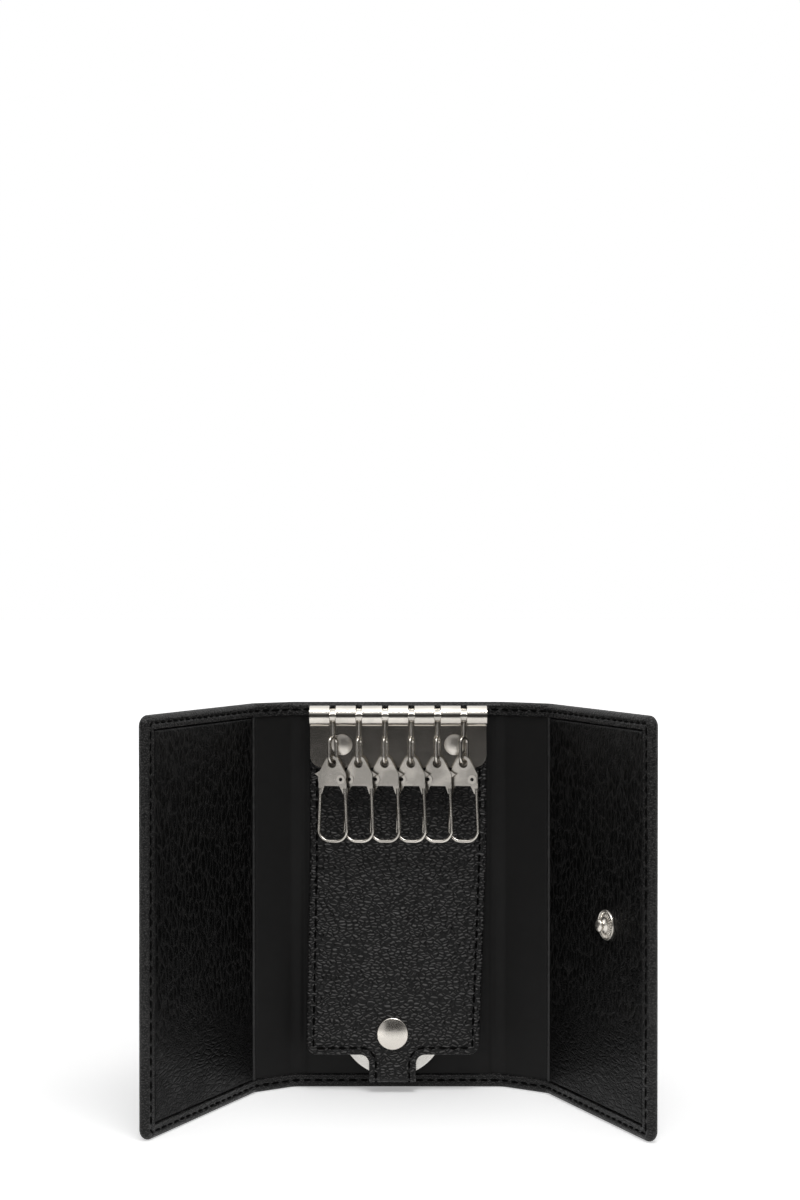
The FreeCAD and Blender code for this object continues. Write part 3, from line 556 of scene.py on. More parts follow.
def skin(name, front, back, material):
    """A closed piece between two grids of points, its rims closed by strips."""
    work = bmesh.new()
    sheets = [[[work.verts.new(point) for point in row] for row in grid] for grid in (front, back)]
    for sheet in sheets:
        for row, after in zip(sheet, sheet[1:]):
            for a, b, c, d in zip(row, row[1:], after[1:], after):
                work.faces.new((a, b, c, d))
    rims = []
    for sheet in sheets:
        far = [row[-1] for row in sheet]
        near = [row[0] for row in sheet]
        rims.append(sheet[0] + far[1:] + sheet[-1][-2::-1] + near[-2:0:-1])
    for number, spot in enumerate(rims[0]):
        other = rims[1][number]
        before, other_before = rims[0][number - 1], rims[1][number - 1]
        work.faces.new((before, spot, other, other_before))
    weld(work)
    return finished(name, work, material)


# %% Hole for the closure socket
SOCKET_BARREL = 5.6 * MM
DRILL_LENGTH = 12 * MM
DRILL_SIDES = 48


def crown_of(name, out, side):
    """Middle of the outermost face of a turned solid; side is -1 or 1 where a node has two of them."""
    spots = [spot.co for spot in frame["nodes"][name].data.vertices if side * spot.co.x >= 0]
    reach = max(spot.dot(out) for spot in spots)
    return middle_of([spot for spot in spots if spot.dot(out) > reach - TOUCH])


def standing(name, out, height, side=0):
    """Turns Z to the outward way and the origin to the foot of a turned solid of that height."""
    foot = crown_of(name, out, side) - out * height
    return Matrix.Translation(foot) @ out.to_track_quat("Z", "Y").to_matrix().to_4x4()


def pierce(piece, where, radius):
    """Cuts a round hole through a piece."""
    work = bmesh.new()
    bmesh.ops.create_cone(work, cap_ends=True, segments=DRILL_SIDES, radius1=radius, radius2=radius,
                          depth=DRILL_LENGTH, matrix=where)
    drill = linked("drill", as_mesh("drill", work))
    piece.modifiers.new("hole", "BOOLEAN").object = drill
    piece.data = modified(piece)
    piece.data.set_sharp_from_angle(angle=SHARP_ANGLE)
    piece.modifiers.clear()
    bpy.data.objects.remove(drill)


# %% The zone round a fold, and places along the spine
BEND_REACH = 4 * MM
FLAP_REACH = 1.6 * MM
GRID = 4 * MM
GRID_END = 6 * MM


def bend_zone(course, fold, after):
    """Two points on the middle line, before and after a fold."""
    return [course.place(fold + shift, CASE_HEIGHT / 2, 0) for shift in (-BEND_REACH, after)]


def bend_at_fold(piece, course, label):
    """Bakes a piece's place into its mesh; the zone round its fold is worked out but not used."""
    if label == "spine":
        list(bend_zone(course, course.first_fold, BEND_REACH))
        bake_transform(piece)
    else:
        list(bend_zone(course, course.second_fold, FLAP_REACH))
        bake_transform(piece)


def spine_run(course, fine_start, step):
    """From the middle of the spine to the middle of the gusset, in small steps round the fold."""
    fold = course.first_fold
    return even(0, fold - GRID_END, GRID) + even(fold - fine_start, course.half_way, step)


# %% Outer leather, split in the middle of each gusset
COVER_STEP = 0.5 * MM
COVER_FINE = 5 * MM


def cover(name, course, alongs, free_edge=None):
    heights = from_edges(0, CASE_HEIGHT, GRID)
    places = [[hemmed_place(along, height, free_edge) for height in heights] for along in alongs]
    inner = [[course.place(s, z, hem_off(d)) for s, z, d in row] for row in places]
    outer = [[course.place(s, z, -edge_round(d, CASE_HALF)) for s, z, d in row] for row in places]
    piece = skin(name, inner, outer, hem_leather)
    return piece


covers = []
for side, course in courses.items():
    piece = cover(f"spine_leather_{side}", course, spine_run(course, COVER_FINE, COVER_STEP))
    bend_at_fold(piece, course, "spine")
    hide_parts("spine_cover", "spine_board", f"{side}_gusset_cover")
    covers.append(piece)
    past_fold = course.second_fold + BEND_REACH
    flap_run = even(course.half_way, past_fold, COVER_STEP)[:-1]
    flap_run += from_edges(past_fold, course.length, GRID, low_edge=False)
    piece = cover(f"flap_leather_{side}", course, flap_run, course.length)
    if side == "left":
        pierce(piece, standing("closure_socket", -course.inwards(), 0), SOCKET_BARREL / 2)
    bend_at_fold(piece, course, "flap")
    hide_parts(f"{side}_flap_cover", f"{side}_flap_board", f"{side}_flap_lining")
    covers.append(piece)
print("outer leather:", [len(piece.data.polygons) for piece in covers], "faces")

# %% [markdown]
# ## Satin lining
# The lining is one cloth from pocket to pocket. It lies on the bed inside the hems and dips under
# the pocket at the second fold. A soft furrow stands where the stiff board of the spine ends.

# %% Lining strips
LINING_WALL = 0.3 * MM
LINING_TUCK = 0.3 * MM
LINING_STEP = 0.3 * MM
LINING_FINE = 5.6 * MM
LINING_GRID = 3 * MM
BOARD_END = 3.2 * MM
BOARD_DEPTH = 0.3 * MM
BOARD_WIDTH = 0.8 * MM
DIP_START = 1.2 * MM
DIP_END = 1.4 * MM


def lining_off(course, along):
    """Face of the lining, with its furrow beside the first fold and its dip under the pocket."""
    furrow = hollow(along - course.first_fold + BOARD_END, BOARD_DEPTH, BOARD_WIDTH)
    dip = smooth(along, course.second_fold - DIP_START, course.second_fold + DIP_END)
    return LINING_OFF - furrow - (LINING_OFF - BED_OFF) * dip


def lining(name, course, alongs):
    heights = even(HEM - LINING_TUCK, CASE_HEIGHT - HEM + LINING_TUCK, LINING_GRID)
    offs = [lining_off(course, along) for along in alongs]
    front = [[course.place(s, z, off) for z in heights] for s, off in zip(alongs, offs)]
    back = [[course.place(s, z, off - LINING_WALL) for z in heights] for s, off in zip(alongs, offs)]
    piece = skin(name, front, back, lining_satin)
    return piece


for side, course in courses.items():
    piece = lining(f"spine_lining_{side}", course, spine_run(course, LINING_FINE, LINING_STEP))
    bend_at_fold(piece, course, "spine")
    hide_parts("spine_lining", f"{side}_gusset_lining")
    flap_run = even(course.half_way, course.second_fold + BEND_REACH, LINING_STEP)
    piece = lining(f"flap_lining_{side}", course, flap_run)
    bend_at_fold(piece, course, "flap")
print("lining face", round(LINING_OFF / MM, 2), "mm inside the middle line")

# %% [markdown]
# ## Pocket panels
# Each flap carries a leather panel that is sewn down on three sides. Along the open side its edge
# is rolled, which shows as a narrow bead beside the lining. The panel itself bulges a little, and
# its edges are pared thin, which leaves a groove beside the hem.

# %% Panels and their rolled edges
POCKET_OFF = 1.3 * MM
POCKET_WALL = 0.8 * MM
PANEL_GAP = 0.05 * MM
PANEL_RIM = 0.5 * MM
PANEL_BULGE = 0.15 * MM
PANEL_GRID = 2 * MM
MOUTH = 2.05 * MM
BEAD = (0.55 * MM, 1.95 * MM)
BEAD_OFF = 1.45 * MM
BEAD_STEP = 0.1 * MM
BEAD_TUCK = 0.2 * MM
BEAD_SINK = 0.05 * MM
BEAD_ROUND = 0.6


def pocket(course):
    start, end = course.second_fold + MOUTH, course.length - HEM - PANEL_GAP
    low, high = HEM + PANEL_GAP, CASE_HEIGHT - HEM - PANEL_GAP
    heights = from_edges(low, high, PANEL_GRID)
    front, back = [], []
    for along in from_edges(start, end, PANEL_GRID):
        sag = PANEL_BULGE * math.sin(math.pi * (along - start) / (end - start))
        row = []
        for z in heights:
            inset = min(along - start, end - along, z - low, high - z)
            rim = edge_round(inset, PANEL_RIM) - PANEL_RIM
            off = POCKET_OFF + rim + sag * math.sin(math.pi * z / CASE_HEIGHT)
            row.append(course.place(along, z, off))
        front.append(row)
        back.append([course.place(along, z, POCKET_OFF - POCKET_WALL) for z in heights])
    return skin(f"pocket_{course.side}", front, back, flap_leather)


def bead(course):
    """The rolled edge: a half round strip beside the panel."""
    alongs = even(course.second_fold + BEAD[0], course.second_fold + BEAD[1], BEAD_STEP)
    heights = even(HEM - BEAD_TUCK, CASE_HEIGHT - HEM + BEAD_TUCK, GRID)
    front, back = [], []
    for number, along in enumerate(alongs):
        share = math.sin(math.pi * number / (len(alongs) - 1))
        off = BED_OFF + (BEAD_OFF - BED_OFF) * share ** BEAD_ROUND
        front.append([course.place(along, z, off) for z in heights])
        back.append([course.place(along, z, BED_OFF - BEAD_SINK) for z in heights])
    return skin(f"pocket_bead_{course.side}", front, back, edge_leather)


panels = []
for side, course in courses.items():
    panel, roll = pocket(course), bead(course)
    for piece in (panel, roll):
        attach(piece, f"{side}_flap")
    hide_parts(f"{side}_flap_pocket")
    panels.append(panel)
print("pocket panels", [len(panel.data.polygons) for panel in panels], "faces")

# %% [markdown]
# ## Tongue and strap
# The tongue is two leathers sewn together. The front one runs on as the strap, goes round the
# ring and comes back up behind. Flat on the bench it has a T-shaped outline, so it is drawn flat:
# loops of points follow the outline at growing distances from the edge and give it a rounded rim
# and a stitch furrow. Then the flat piece is bent into place.

# %% Where the tongue lies
fold_point = Vector(joints["tongue_lift"]["pos_m"])
tail_point = Vector(joints["strap_open"]["pos_m"])
ring_axis = Vector(joints["ring_turn"]["axis"])
tilt_sine, tilt_cosine = -ring_axis.z, ring_axis.y
back_way = Vector((tilt_cosine, -tilt_sine))
up_way = Vector((tilt_sine, tilt_cosine))
top_low, top_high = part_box("tongue_top")
tail_low, tail_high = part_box("strap_tail")
FRONT_WALL = 1.0 * MM
TONGUE_WALL = top_high.y - top_low.y
TONGUE_HALF = top_high.x
TONGUE_TAPER = 0.75 * MM
TONGUE_CORNER = 3 * MM
STRAP_HALF = (tail_high.x - tail_low.x) / 2
STRAP_DROP = 5.1 * MM
STRAP_FILLET = 2.5 * MM
TAIL_RISE = 0.6 * MM
FRONT_MIDDLE = (FRONT_WALL - TONGUE_WALL) / 2
sway = tail_point.x


def on_tongue(back, up):
    """Place in the side view (y, z) of a place on the tilted tongue, counted from its fold."""
    return Vector((fold_point.y, fold_point.z)) + back_way * back + up_way * up


tail_shift = (tail_point - fold_point).yz
tail_back = tail_shift.dot(back_way)
bend_up = tail_shift.dot(up_way) - TAIL_RISE
bend_radius = (tail_back - FRONT_MIDDLE) / 2
top_middle = top_low.y + FRONT_WALL / 2
turn_up = (top_middle - fold_point.y - FRONT_MIDDLE * tilt_cosine) / tilt_sine
lean = round(math.degrees(math.asin(tilt_sine)), 2)
print("tongue leans", lean, "degrees, strap bends round", round(bend_radius / MM, 2), "mm")


# %% The tongue's side view as a bent line
class SideView(Line):
    """A strip of leather seen from the side; its finished face is to the right of the line."""

    def place(self, across, along, off):
        point, way = self.at(along)
        spot = point - left_of(way) * off
        return Vector((across, spot.x, spot.y))


TOP_ROUND = 10 * MM
tail_start = on_tongue(tail_back, bend_up)
tongue_line = SideView(
    [
        Vector((top_middle, top_high.z)),
        on_tongue(FRONT_MIDDLE, turn_up),
        on_tongue(FRONT_MIDDLE, bend_up - bend_radius),
        on_tongue(tail_back, bend_up - bend_radius),
        tail_start,
    ],
    [TOP_ROUND, bend_radius, bend_radius],
)
tail_top = (tail_high.z - tail_start.y) / tilt_cosine
tail_line = SideView([tail_start, on_tongue(tail_back, bend_up + tail_top)], [])
fold_along = tongue_line.starts[1]
bend_along = tongue_line.starts[2] - bend_radius
low_along = bend_along - STRAP_DROP
lengths = [round(length / MM, 1) for length in (low_along, tongue_line.length)]
print("tongue", lengths[0], "mm long, with its strap", lengths[1], "mm")

# %% Flat outlines
ARC_STEP = 0.125


def rounded(points):
    """A closed outline from (x, y, radius) corners, with its round corners as arcs."""
    outline = []
    for number, (x, y, radius) in enumerate(points):
        corner = Vector((x, y))
        before = (corner - Vector(points[number - 1][:2])).normalized()
        after = (Vector(points[(number + 1) % len(points)][:2]) - corner).normalized()
        bend, side = turn_between(before, after)
        reach = radius * math.tan(bend / 2)
        for share in (even(0, 1, ARC_STEP) if radius else [0]):
            outline.append(corner - before * reach + unit_arc(before, side, bend * share) * radius)
    return outline


def drawn_in(outline, inset):
    """The outline moved inwards; it runs counterclockwise, so inwards is to its left."""
    moved = []
    for number, point in enumerate(outline):
        before = left_of((point - outline[number - 1]).normalized())
        after = left_of((outline[(number + 1) % len(outline)] - point).normalized())
        moved.append(point + (before + after) * inset / (1 + before.dot(after)))
    return moved


def tongue_half(side):
    """Corners of one side of the tongue, from the top down; side is -1 or 1."""
    low_side = sway + side * TONGUE_HALF - side * TONGUE_TAPER
    edge = [(side * TONGUE_HALF, 0, 0), (side * TONGUE_HALF, -fold_along, 0)]
    return edge + [(low_side, -low_along, TONGUE_CORNER)]


def strap_edge(side, stops):
    """Corners along one side of the strap; each stop is a place along it and a corner radius."""
    return [(sway + side * STRAP_HALF, along, radius) for along, radius in stops]


strap_stops = [(-low_along, STRAP_FILLET), (-tongue_line.length, 0)]
tail_stops = [(0, 0), (tail_line.length, TONGUE_CORNER)]
left_half, right_half = tongue_half(-1), tongue_half(1)[::-1]
strap = strap_edge(-1, strap_stops) + strap_edge(1, strap_stops[::-1])
front_outline = rounded(left_half + strap + right_half)
back_outline = rounded(left_half + right_half)
tail_outline = rounded(strap_edge(1, tail_stops) + strap_edge(-1, tail_stops[::-1]))
print("outline points:", len(front_outline), len(back_outline), len(tail_outline))

# %% Sewn leather from a flat outline
RIM = 0.45 * MM
SEAM_INSET = 1.9 * MM
SEAM_DEPTH = 0.14 * MM
SEAM_WIDTH = 0.4 * MM
RIM_STEPS = [0, 0.03, 0.1, 0.22, 0.45, 0.9, 1.3, 1.55, 1.75, 1.9, 2.05, 2.25, 2.5]
FACE = FRONT_WALL / 2
BACK_FACE = FACE - TONGUE_WALL


def sewn_off(inset):
    """How much lower than its face the leather lies, at a distance from its edge."""
    return RIM - edge_round(inset, RIM) + hollow(inset - SEAM_INSET, SEAM_DEPTH, SEAM_WIDTH)


def sewn_leather(name, outline, line, shown, rows):
    """A flat closed piece with a rounded rim and a stitch furrow on its shown face, bent along a line."""
    work = bmesh.new()
    hidden = -FACE
    lift = math.copysign(1, shown - hidden)
    rings = []
    for step in RIM_STEPS:
        height = shown - lift * sewn_off(step * MM)
        rings.append([work.verts.new((*point, height)) for point in drawn_in(outline, step * MM)])
    base = [work.verts.new((*point, hidden)) for point in outline]
    for ring, inner in zip([base] + rings, rings):
        for number in range(len(ring)):
            work.faces.new((ring[number - 1], ring[number], inner[number], inner[number - 1]))
    fills = [work.faces.new(rings[-1]), work.faces.new(base)]
    work.normal_update()
    bmesh.ops.triangulate(work, faces=fills)
    for row in rows:
        everything = work.verts[:] + work.edges[:] + work.faces[:]
        bmesh.ops.bisect_plane(work, geom=everything, plane_co=(0, row, 0), plane_no=(0, 1, 0), dist=WELD)
    for spot in work.verts:
        spot.co = line.place(spot.co.x, abs(spot.co.y), spot.co.z)
    piece = finished(name, work, pebbled_leather)
    return piece


# %% Tongue and strap, bent at their folds
FOLD_REACH = 6 * MM
FOLD_STEP = 0.75 * MM
PLAIN_START = 10 * MM
PLAIN_STEP = 8 * MM
BEND_STEP = 0.4 * MM
TAIL_STEP = 0.5 * MM
TAIL_ROWS_END = 4 * MM
TAIL_BEND = 2.5 * MM
fold_rows = [-row for row in even(fold_along - FOLD_REACH, fold_along + FOLD_REACH, FOLD_STEP)]
plain_rows = [-row for row in even(PLAIN_START, low_along - FOLD_REACH, PLAIN_STEP)]
bend_rows = [-row for row in even(bend_along, tongue_line.length, BEND_STEP)[:-1]]
tail_rows = even(TAIL_STEP, TAIL_ROWS_END, TAIL_STEP)
front_rows = plain_rows + fold_rows + bend_rows
back_rows = plain_rows + fold_rows
tongue_front = sewn_leather("tongue_leather_front", front_outline, tongue_line, FACE, front_rows)
tongue_back = sewn_leather("tongue_leather_back", back_outline, tongue_line, BACK_FACE, back_rows)
strap_tail = sewn_leather("strap_leather_tail", tail_outline, tail_line, FACE, tail_rows)
tongue_zone = [tongue_line.place(0, fold_along + shift, 0) for shift in (-BEND_REACH, BEND_REACH)]
tail_zone = [tail_line.place(sway, along, 0) for along in (0, TAIL_BEND)]
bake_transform(tongue_front)
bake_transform(tongue_back)
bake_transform(strap_tail)
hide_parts("tongue_top", "tongue_front")
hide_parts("tongue_back")
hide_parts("strap_tail")
print("tongue:", [len(piece.data.polygons) for piece in (tongue_front, tongue_back, strap_tail)], "faces")

# %% [markdown]
# ## Stitches
# A seam is one stitch repeated along a path, so it is a rule and not a drawing: Geometry Nodes walk
# along the path at the seam's pitch and set a small thread body at each step, long side along the
# path. Each stitch is half sunk in the furrow that the leather already has. No two hand-fed
# stitches are quite alike, so a fixed seed varies their size a little.


# %% A tree of Geometry Nodes
class Rule(Nodes):
    """A Geometry Nodes tree with named inputs."""

    def __init__(self, name, **inputs):
        super().__init__(bpy.data.node_groups.new(name, "GeometryNodeTree"))
        self.names = {}
        self.tree.interface.new_socket("Geometry", in_out="OUTPUT", socket_type="NodeSocketGeometry")
        for label, kind in {"Geometry": "Geometry", **inputs}.items():
            made = self.tree.interface.new_socket(label, in_out="INPUT", socket_type=f"NodeSocket{kind}")
            self.names[label] = made.identifier
        self.inside = self.tree.nodes.new("NodeGroupInput")
        self.outside = self.tree.nodes.new("NodeGroupOutput")

    def taken(self, label):
        """One of the rule's own inputs."""
        return Value(self, self.inside.outputs[label])

    def facing(self, axis, way):
        """A rotation that turns an axis to a way."""
        return self.add("FunctionNodeAlignRotationToVector", {"axis": axis}, {"Vector": way})

    def end(self, points, rotation, scale, material):
        """A smooth ball at each point, turned and stretched, with its finish."""
        ball = self.add("GeometryNodeMeshUVSphere", None, {"Segments": 8, "Rings": 6, "Radius": 0.5})
        soft = self.add("GeometryNodeSetShadeSmooth", None, {0: ball})
        sockets = {"Points": points, "Instance": soft, "Rotation": rotation, "Scale": scale}
        many = self.add("GeometryNodeInstanceOnPoints", None, sockets)
        real = self.add("GeometryNodeRealizeInstances", None, {0: many})
        done = self.add("GeometryNodeSetMaterial", None, {0: real, "Material": material})
        self.give(self.outside.inputs[0], done)

    def grow(self, name, mesh, **values):
        """Runs the rule on a mesh and returns the result as a plain piece."""
        seed = linked(f"{name}_path", mesh)
        modifier = seed.modifiers.new("rule", "NODES")
        modifier.node_group = self.tree
        for label, value in values.items():
            modifier[self.names[label]] = value
        result = modified(seed)
        result.name = name
        bpy.data.objects.remove(seed)
        return linked(name, result)


# %% The rule of a seam
STITCH_PITCH = 3.0 * MM
STITCH_LENGTH = 2.3 * MM
THREAD = 0.7 * MM
STITCH_LIFT = 0.05 * MM
STITCH_SEED = 7
STITCH_SIZES = (0.9, 1.06)


def seam_rule():
    rule = Rule("seam", Pitch="Float", Stitch="Float", Thread="Float")
    path = rule.add("GeometryNodeMeshToCurve", None, {0: rule.taken("Geometry")})
    sockets = {"Curve": path, "Length": rule.taken("Pitch")}
    walk = rule.add("GeometryNodeCurveToPoints", {"mode": "LENGTH"}, sockets, output="Points")
    sizes = {"X": rule.taken("Thread"), "Y": rule.taken("Thread"), "Z": rule.taken("Stitch")}
    shape = rule.add("ShaderNodeCombineXYZ", None, sizes)
    # Sockets 2 and 3 and output 1 are the node's plain numbers.
    sockets = {2: STITCH_SIZES[0], 3: STITCH_SIZES[1], "Seed": STITCH_SEED}
    vary = rule.add("FunctionNodeRandomValue", {"data_type": "FLOAT"}, sockets, output=1)
    size = rule.add("ShaderNodeVectorMath", {"operation": "SCALE"}, {0: shape, "Scale": vary})
    rule.end(walk, rule.facing("Z", walk.beside("Tangent")), size, thread)
    return rule


seam = seam_rule()


def stitches(name, paths):
    """One piece of stitches along several open paths of points."""
    spots = [spot for path in paths for spot in path]
    edges = []
    first = 0
    for path in paths:
        edges += [(number, number + 1) for number in range(first, first + len(path) - 1)]
        first += len(path)
    mesh = bpy.data.meshes.new(f"{name}_path")
    mesh.from_pydata(spots, edges, [])
    return seam.grow(name, mesh, Pitch=STITCH_PITCH, Stitch=STITCH_LENGTH, Thread=THREAD)


# %% Seams along the hems
SEAM_OFF = CASE_HALF - FURROW_DEPTH + STITCH_LIFT
SEAM_CORNER = FLAP_CORNER - STITCH_INSET
PATH_STEP = 0.5 * MM
TURN_STEP = math.pi / 16


def hem_path(course, start, end, off):
    """Along the bottom, round the free edge if the piece has one, and back along the top."""
    top = CASE_HEIGHT - STITCH_INSET
    if end < course.length:
        runs = [[(s, z) for s in even(start, end, PATH_STEP)] for z in (STITCH_INSET, top)]
    else:
        turn_start = course.length - STITCH_INSET - SEAM_CORNER
        low = []
        for angle in even(0, math.pi / 2, TURN_STEP):
            x, y = math.sin(angle), 1 - math.cos(angle)
            low.append((turn_start + SEAM_CORNER * x, STITCH_INSET + SEAM_CORNER * y))
        foot = [(s, STITCH_INSET) for s in even(start, turn_start, PATH_STEP)] + low
        runs = [foot + [(s, CASE_HEIGHT - z) for s, z in reversed(foot)]]
    return [[course.place(s, z, off) for s, z in run] for run in runs]


for side, course in courses.items():
    for label, start, end in (("spine", 0, course.half_way), ("flap", course.half_way, course.length)):
        paths = [path for off in (SEAM_OFF, -SEAM_OFF) for path in hem_path(course, start, end, off)]
        piece = stitches(f"{label}_seam_{side}", paths)
        bend_at_fold(piece, course, label)
        print(piece.name, len(piece.data.polygons), "faces")

# %% Seams of the tongue and of its strap
SEAM_FACE = FACE - SEAM_DEPTH + STITCH_LIFT
SEAM_BACK = BACK_FACE + SEAM_DEPTH - STITCH_LIFT
RAIL_OVERLAP = 2 * MM
TAIL_START = 3 * MM
SHORTEST = 0.1 * MM
seam_start = top_high.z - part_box("rail_plate")[0].z - RAIL_OVERLAP


def dense(points):
    """Points no more than a path step apart, so that a path can bend."""
    full = []
    for before, after in zip(points, points[1:]):
        shares = even(0, 1, PATH_STEP / max((after - before).length, SHORTEST))
        full += [before.lerp(after, share) for share in shares[:-1]]
    return full + [points[-1]]


def seam_paths(outline, line, height, start):
    """The sewn line inside an outline, as its two sides, from a distance along the line onwards."""
    sewn = drawn_in(outline, SEAM_INSET)
    split = len(sewn) // 2
    paths = []
    for half in (sewn[:split], sewn[split:]):
        kept = [point for point in dense(half) if abs(point.y) > start]
        paths.append([line.place(point.x, abs(point.y), height) for point in kept])
    return paths


for label, outline, height in (("front", front_outline, SEAM_FACE), ("back", back_outline, SEAM_BACK)):
    piece = stitches(f"tongue_seam_{label}", seam_paths(outline, tongue_line, height, seam_start))
    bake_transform(piece)
    print(piece.name, len(piece.data.polygons), "faces")
piece = stitches("strap_seam", seam_paths(tail_outline, tail_line, SEAM_FACE, TAIL_START))
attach(piece, "strap")
print(piece.name, len(piece.data.polygons), "faces")

# %% [markdown]
# ## Turned snap parts
# The snap cap and the rivets of the rail are low domes with a rounded rim, flat in the middle and
# steeper towards that rim; a flat disc would mirror one tone only. The closure stud has a serrated
# base, a neck and a rounded head. All are half sections turned round an axis. The serration is
# a rule again: one rib, repeated round a ring.

# %% Half sections turned round an axis
SPIN_STEPS = 64
RIM_TURN = math.pi / 12
ARCH_STEP = 0.05


def dome(radius, height, drop, rim):
    """Section of a cap: a wall, a rounded rim, and a low dome that falls by drop towards that rim."""
    inner, shoulder = radius - rim, height - drop - rim
    turns = even(0, math.pi / 2, RIM_TURN)
    edge = [(inner + rim * math.cos(turn), shoulder + rim * math.sin(turn)) for turn in turns]
    arch = [(inner * share, height - drop * share ** 2) for share in even(1, 0, ARCH_STEP)]
    return [(0, 0), (radius, 0)] + edge + arch[1:]


def turned(name, section, where, body, material):
    """A closed piece from (radius, height) pairs, from the middle of its foot to that of its crown."""
    work = bmesh.new()
    spots = [work.verts.new((radius, 0, height)) for radius, height in section]
    edges = [work.edges.new(pair) for pair in zip(spots, spots[1:])]
    bmesh.ops.spin(work, geom=spots + edges, cent=(0, 0, 0), axis=(0, 0, 1), angle=math.tau,
                   steps=SPIN_STEPS)
    weld(work)
    bmesh.ops.transform(work, matrix=where, verts=work.verts)
    piece = finished(name, work, material)
    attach(piece, body)
    return piece


# %% Snap cap of the tongue and rivets of the rail
CAP_HEIGHT = 1.4 * MM
RIVET_HEAD = 0.5 * MM
cap_section = dome(radius=4.5 * MM, height=CAP_HEIGHT, drop=0.5 * MM, rim=0.45 * MM)
cap_place = standing("tongue_snap_cap", -ring_axis, CAP_HEIGHT)
cap = turned("snap_cap_dome", cap_section, cap_place, "tongue", snap_nickel)
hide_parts("tongue_snap_cap")
rivet_section = dome(radius=3 * MM, height=0.75 * MM, drop=0.5 * MM, rim=0.15 * MM)
for label, side in (("left", -1), ("right", 1)):
    rivet_place = standing("rail_rivets", Vector((0, -1, 0)), RIVET_HEAD, side)
    rivet = turned(f"rail_rivet_{label}", rivet_section, rivet_place, "spine", rivet_nickel)
    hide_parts("rail_rivets")
print("snap cap:", len(cap.data.polygons), "faces, rivet:", len(rivet.data.polygons), "faces")

# %% Closure stud with its serrated base
STUD_HEIGHT = 3.2 * MM
DISH = [(0, 0), (4.05, 0), (4.05, 0.45), (3.95, 0.58), (3.8, 0.58), (3.65, 0.42)]
NECK = [(2.0, 0.82), (1.5, 1.15), (1.3, 1.6)]
HEAD_RADIUS = 1.7 * MM
HEAD_MIDDLE = 2.3 * MM
HEAD_START = -0.6
HEAD_STEP = 0.2
stud_section = [(radius * MM, height * MM) for radius, height in DISH + NECK]
for angle in even(HEAD_START, math.pi / 2, HEAD_STEP):
    rise = (STUD_HEIGHT - HEAD_MIDDLE) * math.sin(angle)
    stud_section.append((HEAD_RADIUS * math.cos(angle), HEAD_MIDDLE + rise))
stud_place = standing("closure_stud", courses["right"].inwards(), STUD_HEIGHT)
stud = turned("closure_stud_turned", stud_section, stud_place, "right_flap", rivet_nickel)
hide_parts("closure_stud")


def rib_rule():
    rule = Rule("ribs", Count="Int", Radius="Float", Apex="Vector", Size="Vector")
    sockets = {"Vertices": rule.taken("Count"), "Radius": rule.taken("Radius")}
    ring = rule.add("GeometryNodeMeshCircle", None, sockets)
    sockets = {0: rule.add("GeometryNodeInputPosition"), 1: rule.taken("Apex")}
    slope = rule.add("ShaderNodeVectorMath", {"operation": "SUBTRACT"}, sockets)
    rule.end(ring, rule.facing("X", slope), rule.taken("Size"), snap_nickel)
    return rule


RIB_COUNT = 28
RIB_RING = 2.85 * MM
RIB_HEIGHT = 0.6 * MM
RIB_SIZE = (1.6 * MM, 0.3 * MM, 0.42 * MM)
APEX_RISE = 0.69 * MM
ribs = rib_rule().grow("closure_stud_ribs", bpy.data.meshes.new("ribs"), Count=RIB_COUNT,
                       Radius=RIB_RING, Apex=(0, 0, APEX_RISE), Size=RIB_SIZE)
ribs.data.transform(stud_place @ Matrix.Translation((0, 0, RIB_HEIGHT)))
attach(ribs, "right_flap")
print("closure stud:", len(stud.data.polygons), "faces, ribs", len(ribs.data.polygons), "faces")

# %% [markdown]
# ## Studio
# The case stands near the front edge of a white table below one very large, dim lamp, with a small
# bright one in front of it that gives the leather its sheen. The white of table and background is
# for the camera and for what metal mirrors; it lights nothing. Close round the case the table's
# glow is lower: a painted shadow that greys the floor there beyond the shadows that the lamps make.
# In front of the table hangs a dark curtain, which upright metal and black leather mirror; the
# camera looks past it. A card at the left shows in the hooks, which are turned that way, a weaker
# one stands at the right, and a low strip at the table's edge shows in the snap cap and the ring.

# %% White for the camera and for mirrors
TABLE_FRONT = -0.24
TABLE_REACH = 6.0
PAINTED_SHADOW_GLOW = 0.33
FAR_GLOW = 1.02
FIRST_RISE = 0.25
ROOM = 0.04
SEEN = ("Is Camera Ray", "Is Glossy Ray", "Is Transmission Ray")


def neutral(value):
    """A grey without any tint."""
    return (value, value, value, 1)


def seen_by_camera(nodes):
    """1 for what the camera sees, straight or in a mirror, and 0 for all other light."""
    return sum(nodes.add("ShaderNodeLightPath", output=label) for label in SEEN)


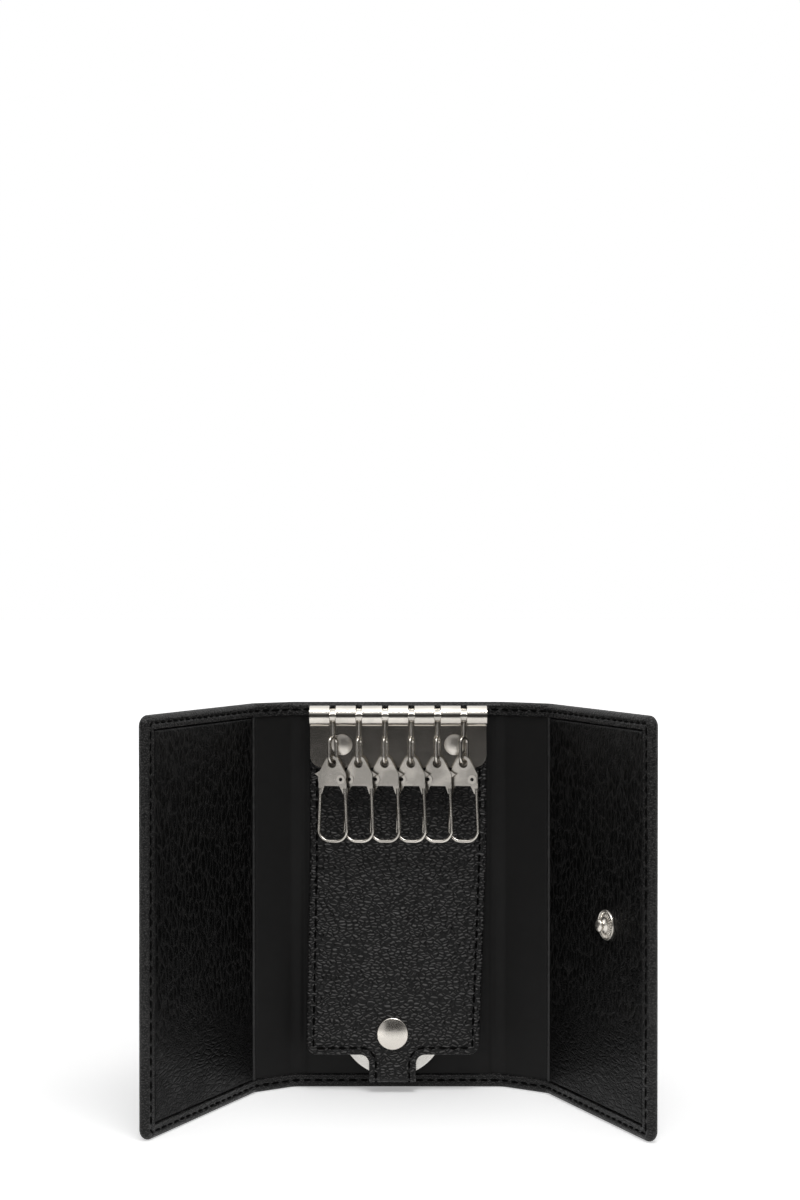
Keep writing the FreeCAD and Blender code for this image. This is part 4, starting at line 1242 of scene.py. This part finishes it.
def table():
    """A sheet whose glow rises in two steps, close round the case and farther out: the low glow near the case is a
    painted shadow.
    """
    finish = Finish("white_table", Emission_Strength=1.0)
    where = finish.place()
    cloud = finish.noise(where, size=60)
    far = finish.add("ShaderNodeVectorMath", {"operation": "LENGTH"}, {0: where}, output="Value")
    # Painted shadow: the glow is lowest round the case and rises to white farther out, so the floor looks shaded
    # near the case beyond what the lamps' shadows do.
    close_rise, far_rise = finish.ramp(far, low=0, high=60), finish.ramp(far, low=120, high=360)
    share = FIRST_RISE * close_rise + (1 - FIRST_RISE) * far_rise
    glow = finish.mix(share, neutral(PAINTED_SHADOW_GLOW), neutral(FAR_GLOW))
    finish.set(Base_Color=finish.mix(cloud, neutral(0.9), neutral(0.92)))
    finish.set(Roughness=0.7 + 0.1 * cloud)
    finish.set(Emission_Color=finish.mix(seen_by_camera(finish), neutral(0), glow))
    front = [(side * TABLE_REACH, TABLE_FRONT, 0) for side in (-1, 1)]
    back = [(side * TABLE_REACH, TABLE_REACH, 0) for side in (1, -1)]
    mesh = bpy.data.meshes.new("table")
    mesh.from_pydata(front + back, [], [(0, 1, 2, 3)])
    return new_piece("table", mesh, finish.material)


def room():
    """White where the camera looks and in mirrors, dark for everything that lights."""
    world = bpy.data.worlds.new("room")
    world.use_nodes = True
    nodes = Nodes(world.node_tree)
    colour = nodes.mix(seen_by_camera(nodes), neutral(ROOM), neutral(1))
    nodes.give(world.node_tree.nodes["Background"].inputs["Color"], colour)
    bpy.context.scene.world = world


# %% Dark curtain and lamps
CURTAIN_REACH = 2.0
CURTAIN_HEIGHTS = (-1.5, 2.5)
CURTAIN_STEP = math.pi / 24
AIM = Vector((0, 0, 0.05))


def curtain():
    """A half round wall in front of the table."""
    finish = Finish("dark_curtain", Emission_Strength=1.0, Specular_IOR_Level=0.0)
    folds = finish.noise(finish.place(stretch=(1, 1, 20)), size=60)
    finish.set(Base_Color=finish.mix(folds, grey(0.005), grey(0.01)))
    finish.set(Emission_Color=finish.mix(folds, grey(ROOM * 0.8), grey(ROOM * 1.2)))
    work = bmesh.new()
    rows = []
    for angle in even(math.pi, math.tau, CURTAIN_STEP):
        x, y = CURTAIN_REACH * math.cos(angle), CURTAIN_REACH * math.sin(angle)
        rows.append([work.verts.new((x, y, height)) for height in CURTAIN_HEIGHTS])
    for (low, high), (next_low, next_high) in zip(rows, rows[1:]):
        work.faces.new((low, next_low, next_high, high))
    wall = new_piece("curtain", as_mesh("curtain", work), finish.material)
    wall.visible_camera = False
    return wall


def lamp(name, place, size, glow):
    """A soft rectangle aimed at the case; glow is how bright its surface looks."""
    light = bpy.data.lights.new(name, "AREA")
    light.shape = "RECTANGLE"
    light.size, light.size_y = size
    light.energy = glow * math.pi * size[0] * size[1]
    holder = linked(name, light)
    holder.location = place
    holder.rotation_euler = (AIM - Vector(place)).to_track_quat("-Z", "Y").to_euler()
    holder.visible_camera = False
    return holder


room()
lamps = [
    lamp("overhead", place=(0, -0.4, 1.1), size=(2.4, 2.0), glow=0.55),
    lamp("hot_spot", place=(0.1, -0.5, 0.95), size=(0.4, 0.3), glow=10.0),
    lamp("left_card", place=(-0.37, -0.6, 0.12), size=(0.4, 0.4), glow=0.55),
    lamp("right_card", place=(0.45, -0.55, 0.15), size=(0.4, 0.4), glow=0.3),
    lamp("low_strip", place=(0, -0.26, 0.02), size=(0.6, 0.04), glow=0.85),
]
table()
curtain()
print("lamps:", [one.name for one in lamps])

# %% [markdown]
# ## Camera
# The photograph was taken from a little above the case, almost level, from about 0.6 m away. The
# top and bottom edges of the flaps, which come towards the viewer, give that distance.

# %% Camera as in the photograph
CAMERA_PLACE = (0.5 * MM, -589 * MM, 146.2 * MM)
CAMERA_DIP = math.radians(0.7)
LENS = 62
SENSOR = 36
camera = bpy.data.cameras.new("camera")
camera.lens = LENS
camera.sensor_width = SENSOR
holder = linked("camera", camera)
holder.location = CAMERA_PLACE
holder.rotation_euler = (math.pi / 2 - CAMERA_DIP, 0, 0)
bpy.context.scene.camera = holder
bpy.context.scene.view_settings.view_transform = "Standard"
print("camera", round(camera.lens), "mm")
